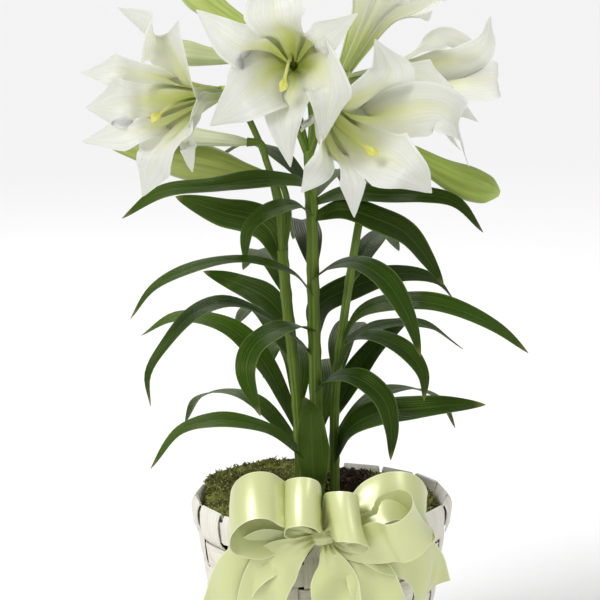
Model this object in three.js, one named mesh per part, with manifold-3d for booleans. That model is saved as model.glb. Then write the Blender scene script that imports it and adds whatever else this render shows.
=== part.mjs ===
// Potted Easter lily in a woven chipwood basket. Millimetres, +Z up, front faces -Y.
import * as THREE from 'three';
import { mergeVertices } from 'three/addons/utils/BufferGeometryUtils.js';
import Module from 'manifold-3d';

const wasm = await Module();
wasm.setup();

// Basket
const STAVES = 18;
const BASKET_HEIGHT = 154;
const FOOT_RADIUS = 63;
const RIM_RADIUS = 86.5;
const WEAVE_OFFSET = 0.85;
const STRIP = 0.9;
const ROWS = 7;
const ROW_PITCH = 18;
const FIRST_ROW = 4;
const ROW_GAP = 2.2;
const HOOP_BOTTOM = 132;
const HOOP_TOP = 150;

// Pot, soil and moss
const POT = { bottom: 3.4, top: 137, footRadius: 56, topRadius: 77, wall: 1.3, lip: 2.2 };
const SOIL_TOP = [[0, 148], [30, 146.5], [75, 137.2]];
const BULB = { x: 0, y: 6, bottom: 36, height: 44, radius: 27 };
const HOLE_GAP = 0.8;
const AROUND = 24;

// Plant
const LEAF_THICKNESS = 0.8;
const TEPAL_THICKNESS = 0.7;
const RIBBON_THICKNESS = 0.8;
const PEDICEL_RADIUS = 2.3;
const KNOB_LENGTH = 12;
const WIRE_RADIUS = 0.7;

// Each stem: points up the middle, radius at the soil and at the top.
const STEMS = {
  left: { radii: [4.6, 3.6], path: [[-14, 14, 90], [-14, 14, 160], [-17, 12, 219], [-24, 8, 288], [-27, 10, 322]] },
  middle: { radii: [5.0, 3.6], path: [[-3, -4, 90], [-3, -4, 165], [-6, -2, 296], [-7, 6, 350], [-9, 30, 386]] },
  right: { radii: [3.6, 2.6], path: [[10, 8, 90], [9, 8, 160], [9, 6, 219], [14, 6, 268], [27, 14, 350], [33, 20, 374]] },
};

// Leaves: stem, width, tilt of the upper face to the front at root and tip in degrees,
// then points from root to tip.
const LEAVES = [
  ['middle', 19, 25, 30, [-4, 0, 362], [-16, -8, 371], [-38, -20, 374], [-73, -30, 371], [-106, -30, 367], [-133, -25, 349]],
  ['left', 24, 50, 60, [-26, 10, 312], [-38, 26, 336], [-69, 45, 343], [-102, 60, 352]],
  ['middle', 17, 20, 10, [-6, 4, 347], [-20, -18, 357], [-38, -27, 352], [-49, -29, 342], [-52, -27, 320]],
  ['middle', 17, 15, 10, [-6, -2, 292], [-20, -20, 311], [-55, -40, 323], [-84, -50, 320], [-111, -55, 307], [-126, -55, 287]],
  ['left', 19, 40, 50, [-23, 9, 272], [-39, 35, 285], [-61, 55, 292], [-83, 60, 299]],
  ['middle', 18, 20, 10, [-5, -3, 250], [-34, -18, 279], [-64, -27, 292], [-86, -35, 286], [-104, -45, 267], [-115, -50, 248], [-114, -50, 227]],
  ['left', 20, 20, 30, [-15, 13, 193], [-26, 20, 215], [-41, 24, 242], [-64, 30, 264], [-101, 40, 270], [-126, 45, 256]],
  ['middle', 20, 10, 0, [-6, -3, 268], [-20, -30, 277], [-34, -44, 275], [-46, -54, 267], [-50, -64, 253], [-41, -70, 225]],
  ['middle', 18, 20, 20, [-4, -4, 172], [-31, -14, 199], [-49, -22, 208], [-72, -25, 211], [-96, -25, 204], [-116, -25, 178]],
  ['middle', 24, 0, 0, [-4, -4, 158], [-6, -13, 172], [-7, -18, 196], [-8, -20, 216], [-12, -27, 228]],
  ['middle', 19, 25, 10, [-5, -3, 226], [8, -24, 241], [24, -40, 243], [40, -50, 232], [45, -55, 215], [45, -57, 192]],
  ['right', 24, 35, 40, [9, 7, 176], [20, -8, 202], [40, -18, 215], [65, -24, 219], [89, -25, 222], [110, -24, 222]],
  ['right', 17, 30, 30, [9, 7, 208], [22, 20, 232], [40, 34, 253], [60, 45, 266]],
  ['right', 20, 30, 25, [12, 5, 252], [24, -10, 280], [40, -20, 290], [68, -35, 294], [92, -40, 289], [115, -45, 279], [136, -45, 262]],
  ['middle', 21, 20, 10, [-6, -2, 304], [8, -20, 316], [23, -35, 320], [41, -50, 311], [55, -60, 290], [64, -62, 263]],
  ['right', 19, 20, 10, [11, 6, 238], [22, -16, 265], [36, -32, 270], [55, -45, 263], [66, -52, 249], [67, -52, 231]],
  ['middle', 20, 40, 40, [-5, -3, 264], [-1, 30, 280], [23, 48, 290], [55, 60, 297], [80, 65, 292], [95, 65, 276]],
  ['middle', 21, 40, 60, [-7, 4, 345], [14, -6, 352], [36, -8, 346], [56, 2, 335], [71, 8, 317], [83, 8, 298]],
  ['middle', 19, 35, 30, [-7, 8, 354], [15, 2, 362], [45, -2, 361], [69, -6, 362], [89, -8, 357], [108, -8, 337]],
  // far side
  ['left', 20, 0, 0, [-14, 14, 182], [-40, 30, 206], [-66, 52, 214], [-88, 72, 204], [-98, 82, 184]],
  ['left', 20, 0, 0, [-14, 13, 212], [-17, 44, 236], [-24, 72, 246], [-34, 98, 236], [-42, 108, 212]],
  ['left', 20, 0, 0, [-20, 10, 246], [-36, 44, 268], [-50, 76, 270], [-62, 100, 252]],
  ['left', 19, 0, 0, [-25, 8, 292], [-34, 40, 310], [-46, 72, 312], [-56, 96, 294]],
  ['middle', 20, 0, 0, [-4, -3, 196], [2, 34, 222], [0, 64, 234], [-4, 92, 222], [-6, 106, 198]],
  ['middle', 20, 0, 0, [-6, -1, 312], [-10, 36, 330], [-14, 70, 334], [-20, 98, 316]],
  ['middle', 19, 0, 0, [-7, 10, 357], [4, 42, 370], [14, 74, 368], [20, 98, 348]],
  ['right', 19, 0, 0, [9, 8, 190], [32, 26, 212], [58, 46, 218], [84, 60, 206], [96, 68, 184]],
  ['right', 19, 0, 0, [10, 6, 236], [15, 42, 256], [24, 72, 260], [34, 98, 244]],
  ['right', 18, 10, 10, [13, 5, 258], [40, 14, 268], [70, 22, 268], [98, 26, 250]],
  ['right', 18, 0, 0, [18, 6, 300], [34, 40, 322], [46, 70, 324], [56, 94, 308]],
  ['middle', 18, 0, 0, [-8, 14, 364], [-32, 44, 384], [-54, 64, 388], [-74, 78, 376]],
];

// Blooms: foot and direction of the trumpet, tube length, stigma,
// then per tepal the bend at the mouth, the tip, the width and the twist at the tip.
const BLOOMS = [
  { foot: [-64, 4, 430], throat: [-94, -75, 430], stigma: [-106, -114, 424], tepals: [
    [[-100, -84, 470], [-131, -62, 490], 45, 20],
    [[-124, -98, 452], [-154, -78, 450], 33, 0],
    [[-122, -104, 434], [-150, -86, 428], 45, 0],
    [[-118, -112, 416], [-152, -98, 408], 33, 0],
    [[-102, -114, 402], [-114, -100, 374], 41, 20],
    [[-86, -100, 408], [-83, -90, 388], 31, 0]] },
  { foot: [-19, 12, 446], throat: [-21, -70, 460], stigma: [-26, -116, 443], tepals: [
    [[-30, -104, 486], [-33, -82, 521], 49, 0],
    [[-53, -108, 470], [-80, -88, 490], 35, 10],
    [[-48, -112, 438], [-71, -104, 419], 47, 0],
    [[-25, -116, 422], [-21, -112, 394], 33, 0],
    [[3, -110, 446], [-1, -110, 410], 43, 40],
    [[-4, -106, 472], [21, -92, 488], 33, 0]] },
  { foot: [-7, 21, 430], throat: [10, -60, 413], stigma: [32, -108, 402], tepals: [
    [[42, -78, 449], [33, -62, 470], 44, 0],
    [[77, -84, 426], [94, -60, 388], 35, 0],
    [[52, -112, 392], [68, -98, 376], 47, 0],
    [[18, -116, 386], [19, -110, 362], 35, 0],
    [[-2, -108, 396], [-14, -104, 377], 45, 0],
    [[-8, -94, 422], [-14, -76, 412], 31, 0]] },
  { foot: [-8, 45, 429], throat: [58, 8, 436], stigma: [92, -12, 427], tepals: [
    [[104, 4, 458], [113, 16, 480], 40, 0],
    [[120, 12, 438], [113, 38, 433], 40, 0],
    [[90, -6, 418], [103, -12, 412], 40, 0],
    [[78, -26, 414], [90, -40, 396], 33, 0],
    [[70, -32, 434], [84, -52, 438], 43, 0],
    [[84, 15, 466], [104, 25, 461], 34, 50]] },
  { foot: [10, 12, 435], throat: [36, 21, 485], stigma: [54, 26, 518], tepals: [
    [[67, 14, 486], [90, 6, 504], 42, 0],
    [[46, -2, 499], [56, -18, 520], 36, 0],
    [[21, 12, 510], [12, 4, 535], 46, 0],
    [[18, 42, 507], [7, 54, 530], 36, 0],
    [[39, 58, 493], [44, 78, 506], 44, 0],
    [[64, 44, 483], [84, 56, 490], 36, 0]] },
];

// Pedicels: stem, middle points, bloom (number) or bud (name) that it carries.
const PEDICELS = [
  ['left', 0, [-30, 12, 350], [-40, 20, 388]],
  ['middle', 1, [-17, 40, 408]],
  ['middle', 2, [-7, 42, 406]],
  ['middle', 3, [-14, 52, 402]],
  ['middle', 4, [-2, 27, 404]],
  ['left', 'bud_pale', [-28, 2, 355], [-38, 0, 385]],
  ['left', 'bud_large', [-23, 9, 350]],
  ['middle', 'bud_small', [-24, 40, 418], [-42, 32, 444]],
  ['middle', 'bud_top', [-20, 48, 424], [-34, 44, 452]],
  ['right', 'bud_right', [38, 16, 386]],
];

// Buds: foot, tip, greatest radius, sag in the middle, outline, colour.
const BUDS = {
  bud_large: { foot: [-39, 10, 372], tip: [-147, 10, 396], radius: 14, sag: -1, outline: 'pointed', colour: 0x8c9c48 },
  bud_pale: { foot: [-51, 0, 397], tip: [-118, -12, 405], radius: 7.5, sag: 0, outline: 'blunt', colour: 0xd3d9b4 },
  bud_small: { foot: [-55, 22, 452], tip: [-108, 2, 460], radius: 8.5, sag: 2, outline: 'blunt', colour: 0xc5cf9a },
  bud_top: { foot: [-47, 31, 469], tip: [-98, 38, 508], radius: 11.5, sag: 4, outline: 'blunt', colour: 0xbccb72 },
  bud_right: { foot: [54, 12, 392], tip: [120, 8, 361], radius: 12, sag: 3, outline: 'blunt', colour: 0x93a653 },
};

// Thickness along a bud as a share of its greatest radius.
const BUD_OUTLINES = {
  blunt: [[0, 0.3], [0.12, 0.52], [0.4, 0.74], [0.68, 1], [0.86, 0.86], [0.95, 0.5], [1, 0.16]],
  pointed: [[0, 0.3], [0.13, 0.5], [0.3, 0.84], [0.47, 1], [0.66, 0.8], [0.8, 0.56], [0.92, 0.34], [1, 0.08]],
};

// Ribbon strips of the bow: width, across direction at start, middle and end, then points.
const BOW = [
  [32, [0, 0.6, 0.8], [0, 0.6, 0.8], [0, 0.6, 0.8],
    [-5, -103, 155], [-21, -103, 155], [-42, -103, 153], [-56, -106, 158], [-59, -113, 169], [-54, -121, 180],
    [-45, -125, 186], [-35, -125, 186], [-26, -119, 179], [-15, -110, 167], [-4, -104, 156]],
  [32, [0, 0.5, 0.87], [0, 0.5, 0.87], [0, 0.5, 0.87],
    [-4, -105, 156], [-16, -106, 162], [-23, -111, 171], [-24, -119, 178], [-19, -126, 182],
    [-12, -128, 183], [-5, -125, 180], [-2, -118, 174], [-2, -111, 166], [-1, -106, 157]],
  [32, [-0.2, 0.35, 0.92], [-0.2, 0.35, 0.92], [-0.2, 0.35, 0.92],
    [2, -106, 156], [2, -110, 163], [4, -117, 169], [7, -124, 172], [14, -128, 173],
    [21, -126, 171], [25, -119, 166], [21, -112, 160], [13, -108, 156], [4, -105, 154]],
  [32, [-0.3, 0, 0.9], [-0.42, -0.45, 0.79], [-0.3, 0, 0.9],
    [3, -106, 153], [15, -110, 147], [39, -119, 154], [47, -126, 155], [57, -126, 160], [63, -119, 167],
    [62, -110, 172], [54, -102, 172], [43, -101, 167], [37, -107, 160], [17, -107, 158], [4, -103, 153]],
  [32, [0, 0.6, 0.8], [0, 0.5, 0.85], [0, 0.45, 0.9],
    [4, -100, 154], [19, -98, 154], [40, -94, 152], [58, -90, 154], [66, -90, 162], [63, -95, 172],
    [55, -101, 179], [42, -105, 180], [29, -105, 174], [16, -103, 164], [5, -101, 155]],
  [32, [-0.2, 0, 0.97], [-0.7, 0.25, 0.65], [-0.85, 0.45, 0.3],
    [-5, -103, 153], [-20, -107, 149], [-38, -108, 143], [-52, -103, 131], [-61, -96, 116], [-66, -88, 97]],
  [32, [-0.4, 0, 0.9], [-0.9, 0.15, 0.4], [-0.97, 0.25, 0],
    [-2, -106, 153], [-15, -111, 148], [-28, -111, 138], [-36, -108, 125], [-40, -101, 106], [-40, -92, 79]],
  [32, [1, 0, 0.1], [1, 0, 0.1], [1, 0.05, 0],
    [1, -107, 152], [3, -113, 145], [6, -113, 136], [8, -109, 118], [10, -103, 95], [9, -96, 70]],
  [32, [0.55, 0, 0.83], [0.9, 0.1, 0.4], [0.97, 0.2, 0.2],
    [4, -104, 152], [16, -107, 144], [28, -107, 130], [36, -103, 112], [41, -97, 88], [46, -90, 65]],
  [32, [0.2, 0.1, 0.97], [0.7, 0.5, 0.5], [0.75, 0.6, 0.2],
    [4, -102, 153], [21, -105, 149], [40, -105, 145], [58, -97, 138], [69, -86, 125], [72, -76, 107]],
];

// Wire of the bow: out of the knot, through the wall beside the front stave and back.
const BOW_WIRE = [[-2.5, -97.9, 151], [-9, -92.5, 139], [-15, -88, 131.5], [-15.2, -84, 131], [-13.8, -81.2, 131],
  [-9, -80.7, 131], [0, -80.7, 131], [9, -80.7, 131], [13.8, -81.2, 131], [15.2, -84, 131], [15, -88, 131.5],
  [9, -92.5, 139], [2.5, -97.9, 151]];

const COLOURS = {
  chip: 0xe2dcd2, pot: 0x2f2f2d, soil: 0x33241a, moss: 0x68732f, bulb: 0xd9cfae, stem: 0x6f8e3c,
  tepal: 0xeeefe6, pistil: 0xcfd36a, ribbon: 0xc8d394, wire: 0x6b7f3a,
};

let seed = 7;
function random() {
  seed = (seed * 16807) % 2147483647;
  return seed / 2147483647;
}

const vec = (p) => new THREE.Vector3(...p);
const clamp01 = (x) => Math.min(1, Math.max(0, x));
const mix = (a, b, t) => a + (b - a) * t;
const radians = (d) => (d * Math.PI) / 180;

function ease(a, b, x) {
  const t = clamp01((x - a) / (b - a));
  return t * t * (3 - 2 * t);
}

// Value of a piecewise straight line through [x, y] pairs.
function lookup(table, x) {
  for (let i = 1; i < table.length; i += 1) {
    const [x0, y0] = table[i - 1];
    const [x1, y1] = table[i];
    if (x <= x1) return mix(y0, y1, clamp01((x - x0) / (x1 - x0)));
  }
  return table[table.length - 1][1];
}

// Solids from shared vertices; turned the right way out when needed.
function solid(points, triangles) {
  let volume = 0;
  const cross = new THREE.Vector3();
  for (const [a, b, c] of triangles) {
    cross.crossVectors(points[b], points[c]);
    volume += points[a].dot(cross);
  }
  const turned = volume < 0 ? triangles.map(([a, b, c]) => [a, c, b]) : triangles;
  const mesh = new wasm.Mesh({
    numProp: 3,
    vertProperties: Float32Array.from(points.flatMap((p) => [p.x, p.y, p.z])),
    triVerts: Uint32Array.from(turned.flat()),
  });
  return new wasm.Manifold(mesh);
}

// One body from several that meet; slivers left by the joining are dropped.
function fuse(solids) {
  let all = solids[0];
  for (const next of solids.slice(1)) all = all.add(next);
  return all.decompose().sort((a, b) => b.volume() - a.volume())[0];
}

function turned(profile, segments = AROUND) {
  const lathe = new THREE.LatheGeometry(profile.map(([r, z]) => new THREE.Vector2(r, z)), segments);
  lathe.rotateX(Math.PI / 2);
  lathe.deleteAttribute('normal');
  lathe.deleteAttribute('uv');
  const merged = mergeVertices(lathe, 1e-4);
  const at = merged.attributes.position;
  const points = [];
  for (let i = 0; i < at.count; i += 1) points.push(new THREE.Vector3().fromBufferAttribute(at, i));
  const triangles = [];
  for (let i = 0; i < merged.index.count; i += 3) {
    const t = [0, 1, 2].map((k) => merged.index.getX(i + k));
    if (t[0] !== t[1] && t[1] !== t[2] && t[0] !== t[2]) triangles.push(t);
  }
  return solid(points, triangles);
}

function node(name, body, colour, roughness = 0.7) {
  const { vertProperties, triVerts } = body.getMesh();
  const geometry = new THREE.BufferGeometry();
  geometry.setAttribute('position', new THREE.BufferAttribute(Float32Array.from(vertProperties), 3));
  geometry.setIndex(new THREE.BufferAttribute(Uint32Array.from(triVerts), 1));
  geometry.computeVertexNormals();
  const material = new THREE.MeshStandardMaterial({ color: colour, roughness, metalness: 0 });
  const mesh = new THREE.Mesh(geometry, material);
  mesh.name = name;
  return mesh;
}

// Rings of points joined into a closed body; ends closed by fans.
function rings(list) {
  const points = list.flat();
  const n = list[0].length;
  const triangles = [];
  for (let i = 0; i + 1 < list.length; i += 1) {
    for (let j = 0; j < n; j += 1) {
      const a = i * n + j;
      const b = i * n + ((j + 1) % n);
      triangles.push([a, b, b + n], [a, b + n, a + n]);
    }
  }
  const last = (list.length - 1) * n;
  const middle = (ring) => ring.reduce((sum, p) => sum.add(p), new THREE.Vector3()).divideScalar(n);
  points.push(middle(list[0]), middle(list[list.length - 1]));
  for (let j = 0; j < n; j += 1) {
    const k = (j + 1) % n;
    triangles.push([k, j, points.length - 2], [last + j, last + k, points.length - 1]);
  }
  return solid(points, triangles);
}

// A sheet given by its middle surface, thickened to both sides.
function slab(grid, thickness) {
  const rows = grid.length;
  const columns = grid[0].length;
  const normal = (i, j) => {
    const along = grid[Math.min(i + 1, rows - 1)][j].clone().sub(grid[Math.max(i - 1, 0)][j]);
    const across = grid[i][Math.min(j + 1, columns - 1)].clone().sub(grid[i][Math.max(j - 1, 0)]);
    return along.cross(across).normalize();
  };
  const points = [];
  for (const side of [0.5, -0.5]) {
    for (let i = 0; i < rows; i += 1) {
      for (let j = 0; j < columns; j += 1) {
        points.push(grid[i][j].clone().addScaledVector(normal(i, j), side * thickness));
      }
    }
  }
  const back = rows * columns;
  const triangles = [];
  for (let i = 0; i + 1 < rows; i += 1) {
    for (let j = 0; j + 1 < columns; j += 1) {
      const a = i * columns + j;
      const b = a + 1;
      const c = a + columns;
      const d = c + 1;
      triangles.push([a, b, d], [a, d, c]);
      triangles.push([a + back, d + back, b + back], [a + back, c + back, d + back]);
    }
  }
  const wall = (a, b) => triangles.push([b, a, a + back], [b, a + back, b + back]);
  for (let j = 0; j + 1 < columns; j += 1) {
    wall(j, j + 1);
    wall((rows - 1) * columns + j + 1, (rows - 1) * columns + j);
  }
  for (let i = 0; i + 1 < rows; i += 1) {
    wall((i + 1) * columns, i * columns);
    wall(i * columns + columns - 1, (i + 1) * columns + columns - 1);
  }
  return solid(points, triangles);
}

function smooth(points, count) {
  const curve = new THREE.CatmullRomCurve3(points.map(vec), false, 'centripetal');
  curve.arcLengthDivisions = 400;
  return curve.getSpacedPoints(count);
}

function tangents(path) {
  return path.map((p, i) => {
    const next = path[Math.min(i + 1, path.length - 1)];
    const before = path[Math.max(i - 1, 0)];
    return next.clone().sub(before).normalize();
  });
}

// Round or ribbed body along a curve; its far end can be cut square to a given direction.
function tube(points, stations, sides, radius, endDirection) {
  const path = smooth(points, stations);
  const along = tangents(path);
  if (endDirection) along[stations] = endDirection;
  let side = new THREE.Vector3(1, 0, 0);
  return rings(path.map((p, i) => {
    side = side.clone().addScaledVector(along[i], -side.dot(along[i])).normalize();
    const other = along[i].clone().cross(side);
    const ring = [];
    for (let k = 0; k < sides; k += 1) {
      const turn = (2 * Math.PI * k) / sides;
      const r = radius(i / stations, k);
      ring.push(p.clone().addScaledVector(side, r * Math.cos(turn)).addScaledVector(other, r * Math.sin(turn)));
    }
    return ring;
  }));
}

// Leaf: widest at a third, tapering to a point, folded along the midrib.
function leafShape(t) {
  if (t < 0.4) return 0.3 + 0.7 * Math.sin((Math.PI / 2) * (t / 0.4));
  return Math.max(0.06, Math.cos((Math.PI / 2) * ((t - 0.4) / 0.6)) ** 0.7);
}

// Middle of a stem at a height.
function stemPoint(name, z) {
  const { path } = STEMS[name];
  return [0, 1].map((k) => lookup(path.map((p) => [p[2], p[k]]), z)).concat(z);
}

function leaf([name, width, tiltRoot, tiltTip, root, ...points], stations = 5) {
  const foot = stemPoint(name, root[2]);
  const path = smooth([foot, ...points], stations);
  const along = tangents(path);
  const chord = vec(points[points.length - 1]).sub(vec(foot));
  const level = new THREE.Vector3(0, 0, 1).cross(chord).normalize();
  const grid = path.map((p, i) => {
    const t = i / stations;
    const across = level.clone().addScaledVector(along[i], -level.dot(along[i])).normalize();
    across.applyAxisAngle(along[i], radians(Math.sign(chord.x) * mix(tiltRoot, tiltTip, t)));
    const up = along[i].clone().cross(across);
    const half = (width / 2) * leafShape(t);
    return [-1, 0, 1].map((u) => p.clone().addScaledVector(across, u * half)
      .addScaledVector(up, Math.abs(u) * half * 0.3));
  });
  return slab(grid, LEAF_THICKNESS);
}

// Tepal: rolled round the trumpet below the mouth, opening into a flat recurved blade.
function tepalShape(t, wide) {
  return Math.max(0.05, lookup([[0, 0.16], [0.3, 0.6], [0.5, wide ? 1.02 : 0.93], [0.62, 1.05], [0.72, 0.93],
    [0.84, 0.56], [0.93, 0.24], [1, 0.03]], t));
}

// Directions of the six tepals round the trumpet, 60 degrees apart, turned to suit their bends.
function spokes(bloom) {
  const foot = vec(bloom.foot);
  const axis = vec(bloom.throat).sub(foot).normalize();
  const first = vec(bloom.tepals[0][0]).sub(foot);
  first.addScaledVector(axis, -first.dot(axis)).normalize();
  const second = axis.clone().cross(first);
  const angles = bloom.tepals.map(([bend]) => {
    const out = vec(bend).sub(foot);
    return Math.atan2(out.dot(second), out.dot(first));
  });
  const way = Math.sin(angles[1] - angles[0]) > 0 ? 1 : -1;
  const drift = angles.map((a, i) => a - way * i * (Math.PI / 3));
  const shift = Math.atan2(drift.reduce((s, a) => s + Math.sin(a), 0), drift.reduce((s, a) => s + Math.cos(a), 0));
  return angles.map((_, i) => first.clone().applyAxisAngle(axis, shift + way * i * (Math.PI / 3)));
}

function tepal(bloom, [bend, tip, width, twist], inner, radial) {
  const stations = 6;
  const columns = inner ? 4 : 2;
  const foot = vec(bloom.foot);
  const axis = vec(bloom.throat).sub(foot);
  const length = axis.length();
  axis.normalize();
  const at = (share, out) => foot.clone().addScaledVector(axis, length * share)
    .addScaledVector(radial, out + (inner ? -0.8 : 0.8)).toArray();
  const turn = vec(bend).addScaledVector(axis, inner ? 2.5 : -3).toArray();
  const path = smooth([at(0.05, 2.8), at(0.5, 8), at(0.95, 15), turn, tip], stations);
  const along = tangents(path);
  const lateral = axis.clone().cross(radial);
  const grid = path.map((p, i) => {
    const t = i / stations;
    const across = lateral.clone().addScaledVector(along[i], -lateral.dot(along[i])).normalize();
    across.applyAxisAngle(along[i], radians(twist) * ease(0.6, 1, t));
    const inward = along[i].clone().cross(across);
    const out = p.clone().sub(foot);
    out.addScaledVector(axis, -out.dot(axis));
    const bow = mix(1 / Math.max(out.length(), 3), 1 / 80, ease(0.45, 0.8, t));
    const half = Math.min((width / 2) * tepalShape(t, inner), (inner ? 0.85 : 0.5) * out.length());
    const row = [];
    for (let j = 0; j <= columns; j += 1) {
      const x = half * (2 * j / columns - 1);
      const ruffle = 1.6 * ease(0.5, 0.8, t) * (j % 2 ? -0.5 : 0.6);
      row.push(p.clone().addScaledVector(across, Math.sin(bow * x) / bow)
        .addScaledVector(inward, (1 - Math.cos(bow * x)) / bow + ruffle));
    }
    return row;
  });
  return slab(grid, TEPAL_THICKNESS);
}

function knob(bloom) {
  const foot = vec(bloom.foot);
  const axis = vec(bloom.throat).sub(foot).normalize();
  const end = foot.clone().addScaledVector(axis, KNOB_LENGTH);
  const size = [[0, 2.8], [0.5, 5.4], [1, 5.2]];
  return tube([bloom.foot, foot.clone().lerp(end, 0.5).toArray(), end.toArray()], 2, 6, (t) => lookup(size, t));
}

function bloomBody(bloom) {
  const ways = spokes(bloom);
  const blades = bloom.tepals.map((row, i) => tepal(bloom, row, i % 2 === 0, ways[i]));
  return fuse([knob(bloom), ...blades]);
}

// Style with a three-lobed stigma; it starts inside the trumpet above the knob.
function pistil(bloom) {
  const foot = vec(bloom.foot);
  const throat = vec(bloom.throat);
  const axis = throat.clone().sub(foot).normalize();
  const start = foot.clone().addScaledVector(axis, KNOB_LENGTH + 0.5);
  const profile = [[0, 0.9], [0.86, 1], [0.88, 1.6], [1, 3.4]];
  const lobed = (t, k) => lookup(profile, t) * (t > 0.9 ? 1 + (k % 2 ? -0.3 : 0.15) : 1);
  return tube([start.toArray(), throat.toArray(), bloom.stigma], 7, 6, lobed);
}

function bud({ foot, tip, radius, sag, outline }) {
  const middle = vec(foot).lerp(vec(tip), 0.5);
  middle.z -= sag;
  const ribbed = (t, k) => radius * lookup(BUD_OUTLINES[outline], t) * (k % 3 ? 1 : 0.86);
  return tube([foot, middle.toArray(), tip], 7, 9, ribbed);
}

function stemTop(name) {
  const { path } = STEMS[name];
  return path[path.length - 1];
}

// A pedicel ends just short of the foot that it carries, square to it.
function pedicel([name, carried, ...middle]) {
  const held = typeof carried === 'number' ? BLOOMS[carried] : BUDS[carried];
  const foot = vec(held.foot);
  const axis = vec(held.throat ?? held.tip).sub(foot).normalize();
  const end = foot.clone().addScaledVector(axis, -0.5);
  const before = foot.clone().addScaledVector(axis, -10);
  const start = vec(stemTop(name)).add(new THREE.Vector3(0, 0, -4));
  return tube([start.toArray(), ...middle, before.toArray(), end.toArray()], 5, 5, () => PEDICEL_RADIUS, axis);
}

function leafyStem(name) {
  const { radii, path } = STEMS[name];
  const axis = tube(path, 7, 6, (t) => mix(radii[0], radii[1], t));
  const leaves = LEAVES.filter((row) => row[0] === name).map((row) => leaf(row));
  const pedicels = PEDICELS.filter((row) => row[0] === name).map(pedicel);
  return fuse([axis, ...leaves, ...pedicels]);
}

// Wall middle radius at a height.
function wallRadius(z) {
  return mix(FOOT_RADIUS, RIM_RADIUS, z / BASKET_HEIGHT);
}

function polar(radius, angle, z, sideways = 0) {
  const x = radius * Math.cos(angle) - sideways * Math.sin(angle);
  const y = radius * Math.sin(angle) + sideways * Math.cos(angle);
  return new THREE.Vector3(x, y, z);
}

function staveWidth(z) {
  return 2 * wallRadius(z) * Math.tan(Math.PI / STAVES) - 4.2;
}

// Which side of the weaver a stave passes in a row: +1 outside, -1 inside.
function side(index, row) {
  return (index + row) % 2 ? 1 : -1;
}

function stave(index) {
  const angle = (2 * Math.PI * (index + 0.5)) / STAVES;
  const profile = [[wallRadius(0), 0]];
  for (let row = 0; row < ROWS; row += 1) {
    const bottom = FIRST_ROW + row * ROW_PITCH;
    for (const z of [bottom, bottom + ROW_PITCH - ROW_GAP]) {
      profile.push([wallRadius(z) + side(index, row) * WEAVE_OFFSET, z]);
    }
  }
  const outside = side(index, ROWS) > 0;
  const hoop = wallRadius(HOOP_TOP);
  const near = outside ? 1.6 : -1.6;
  const lift = 0.9 * random() - 1.6 * spillAt(angle);
  profile.push([hoop - 1.6 + near, HOOP_BOTTOM + 1], [hoop + near * 1.25, HOOP_TOP - 2]);
  profile.push([hoop, BASKET_HEIGHT - 0.6 + lift], [hoop - near * 1.4, HOOP_TOP - 1]);
  profile.push([hoop - 1.4 - near * 1.6, HOOP_BOTTOM + 2.5]);
  const grid = profile.map(([r, z]) => {
    const half = staveWidth(z) / 2;
    return [-half, half].map((s) => polar(r, angle, z, s));
  });
  return slab(grid, STRIP);
}

// How far the moss spills over the rim in a direction: 1 at the back left.
function spillAt(angle) {
  return ease(0.5, 0.95, Math.cos(angle - radians(128)));
}

// A weaver runs flat past each stave and crosses over in the gap between two.
function weaver(row) {
  const bottom = FIRST_ROW + row * ROW_PITCH;
  const top = bottom + ROW_PITCH - ROW_GAP;
  const list = [];
  for (let i = 0; i < STAVES; i += 1) {
    const angle = (2 * Math.PI * (i + 0.5)) / STAVES;
    for (const end of [-1, 1]) {
      const ring = [];
      for (const [z, out] of [[bottom, -1], [bottom, 1], [top, 1], [top, -1]]) {
        const radius = wallRadius(z) - side(i, row) * WEAVE_OFFSET + (out * STRIP) / 2;
        ring.push(polar(radius, angle, z, end * (staveWidth(z) / 2 + 0.3)));
      }
      list.push(ring);
    }
  }
  return closedLoop(list);
}

function hoop() {
  const r = wallRadius(HOOP_TOP);
  const low = HOOP_BOTTOM + 2;
  const high = HOOP_TOP - 1.5;
  const list = [];
  for (let i = 0; i < STAVES; i += 1) {
    const angle = (2 * Math.PI * i) / STAVES;
    const scale = 1 / Math.cos(Math.PI / STAVES);
    list.push([[low, -2], [low, -1], [high, 0.5], [high, -0.5]].map(([z, out]) => polar((r + out) * scale, angle, z)));
  }
  return closedLoop(list);
}

function closedLoop(list) {
  const points = list.flat();
  const n = list[0].length;
  const triangles = [];
  for (let i = 0; i < list.length; i += 1) {
    const next = ((i + 1) % list.length) * n;
    for (let j = 0; j < n; j += 1) {
      const k = (j + 1) % n;
      triangles.push([i * n + j, i * n + k, next + k], [i * n + j, next + k, next + j]);
    }
  }
  return solid(points, triangles);
}

function stemHoles(bottom, top) {
  return Object.values(STEMS).map(({ radii, path }) => {
    const [x, y] = path[0];
    const [x1, y1] = path[1];
    const end = [x1 + (x1 - x) * 0.1, y1 + (y1 - y) * 0.1];
    return tube([[x, y, bottom], [(x + end[0]) / 2, (y + end[1]) / 2, (bottom + top) / 2], [...end, top]], 1, 8,
      () => radii[0] + HOLE_GAP);
  });
}

function bulbBody(grow = 0) {
  const { x, y, bottom, height, radius } = BULB;
  const size = [[0, 0.35], [0.12, 0.72], [0.4, 1], [0.7, 0.82], [0.9, 0.45], [1, 0.22]];
  const body = tube([[x, y, bottom - grow], [x, y, bottom + height / 2], [x, y, bottom + height + grow]], 6, 12,
    (t, k) => radius * lookup(size, t) * (k % 2 ? 1 : 0.93) + grow);
  return body;
}

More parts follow.
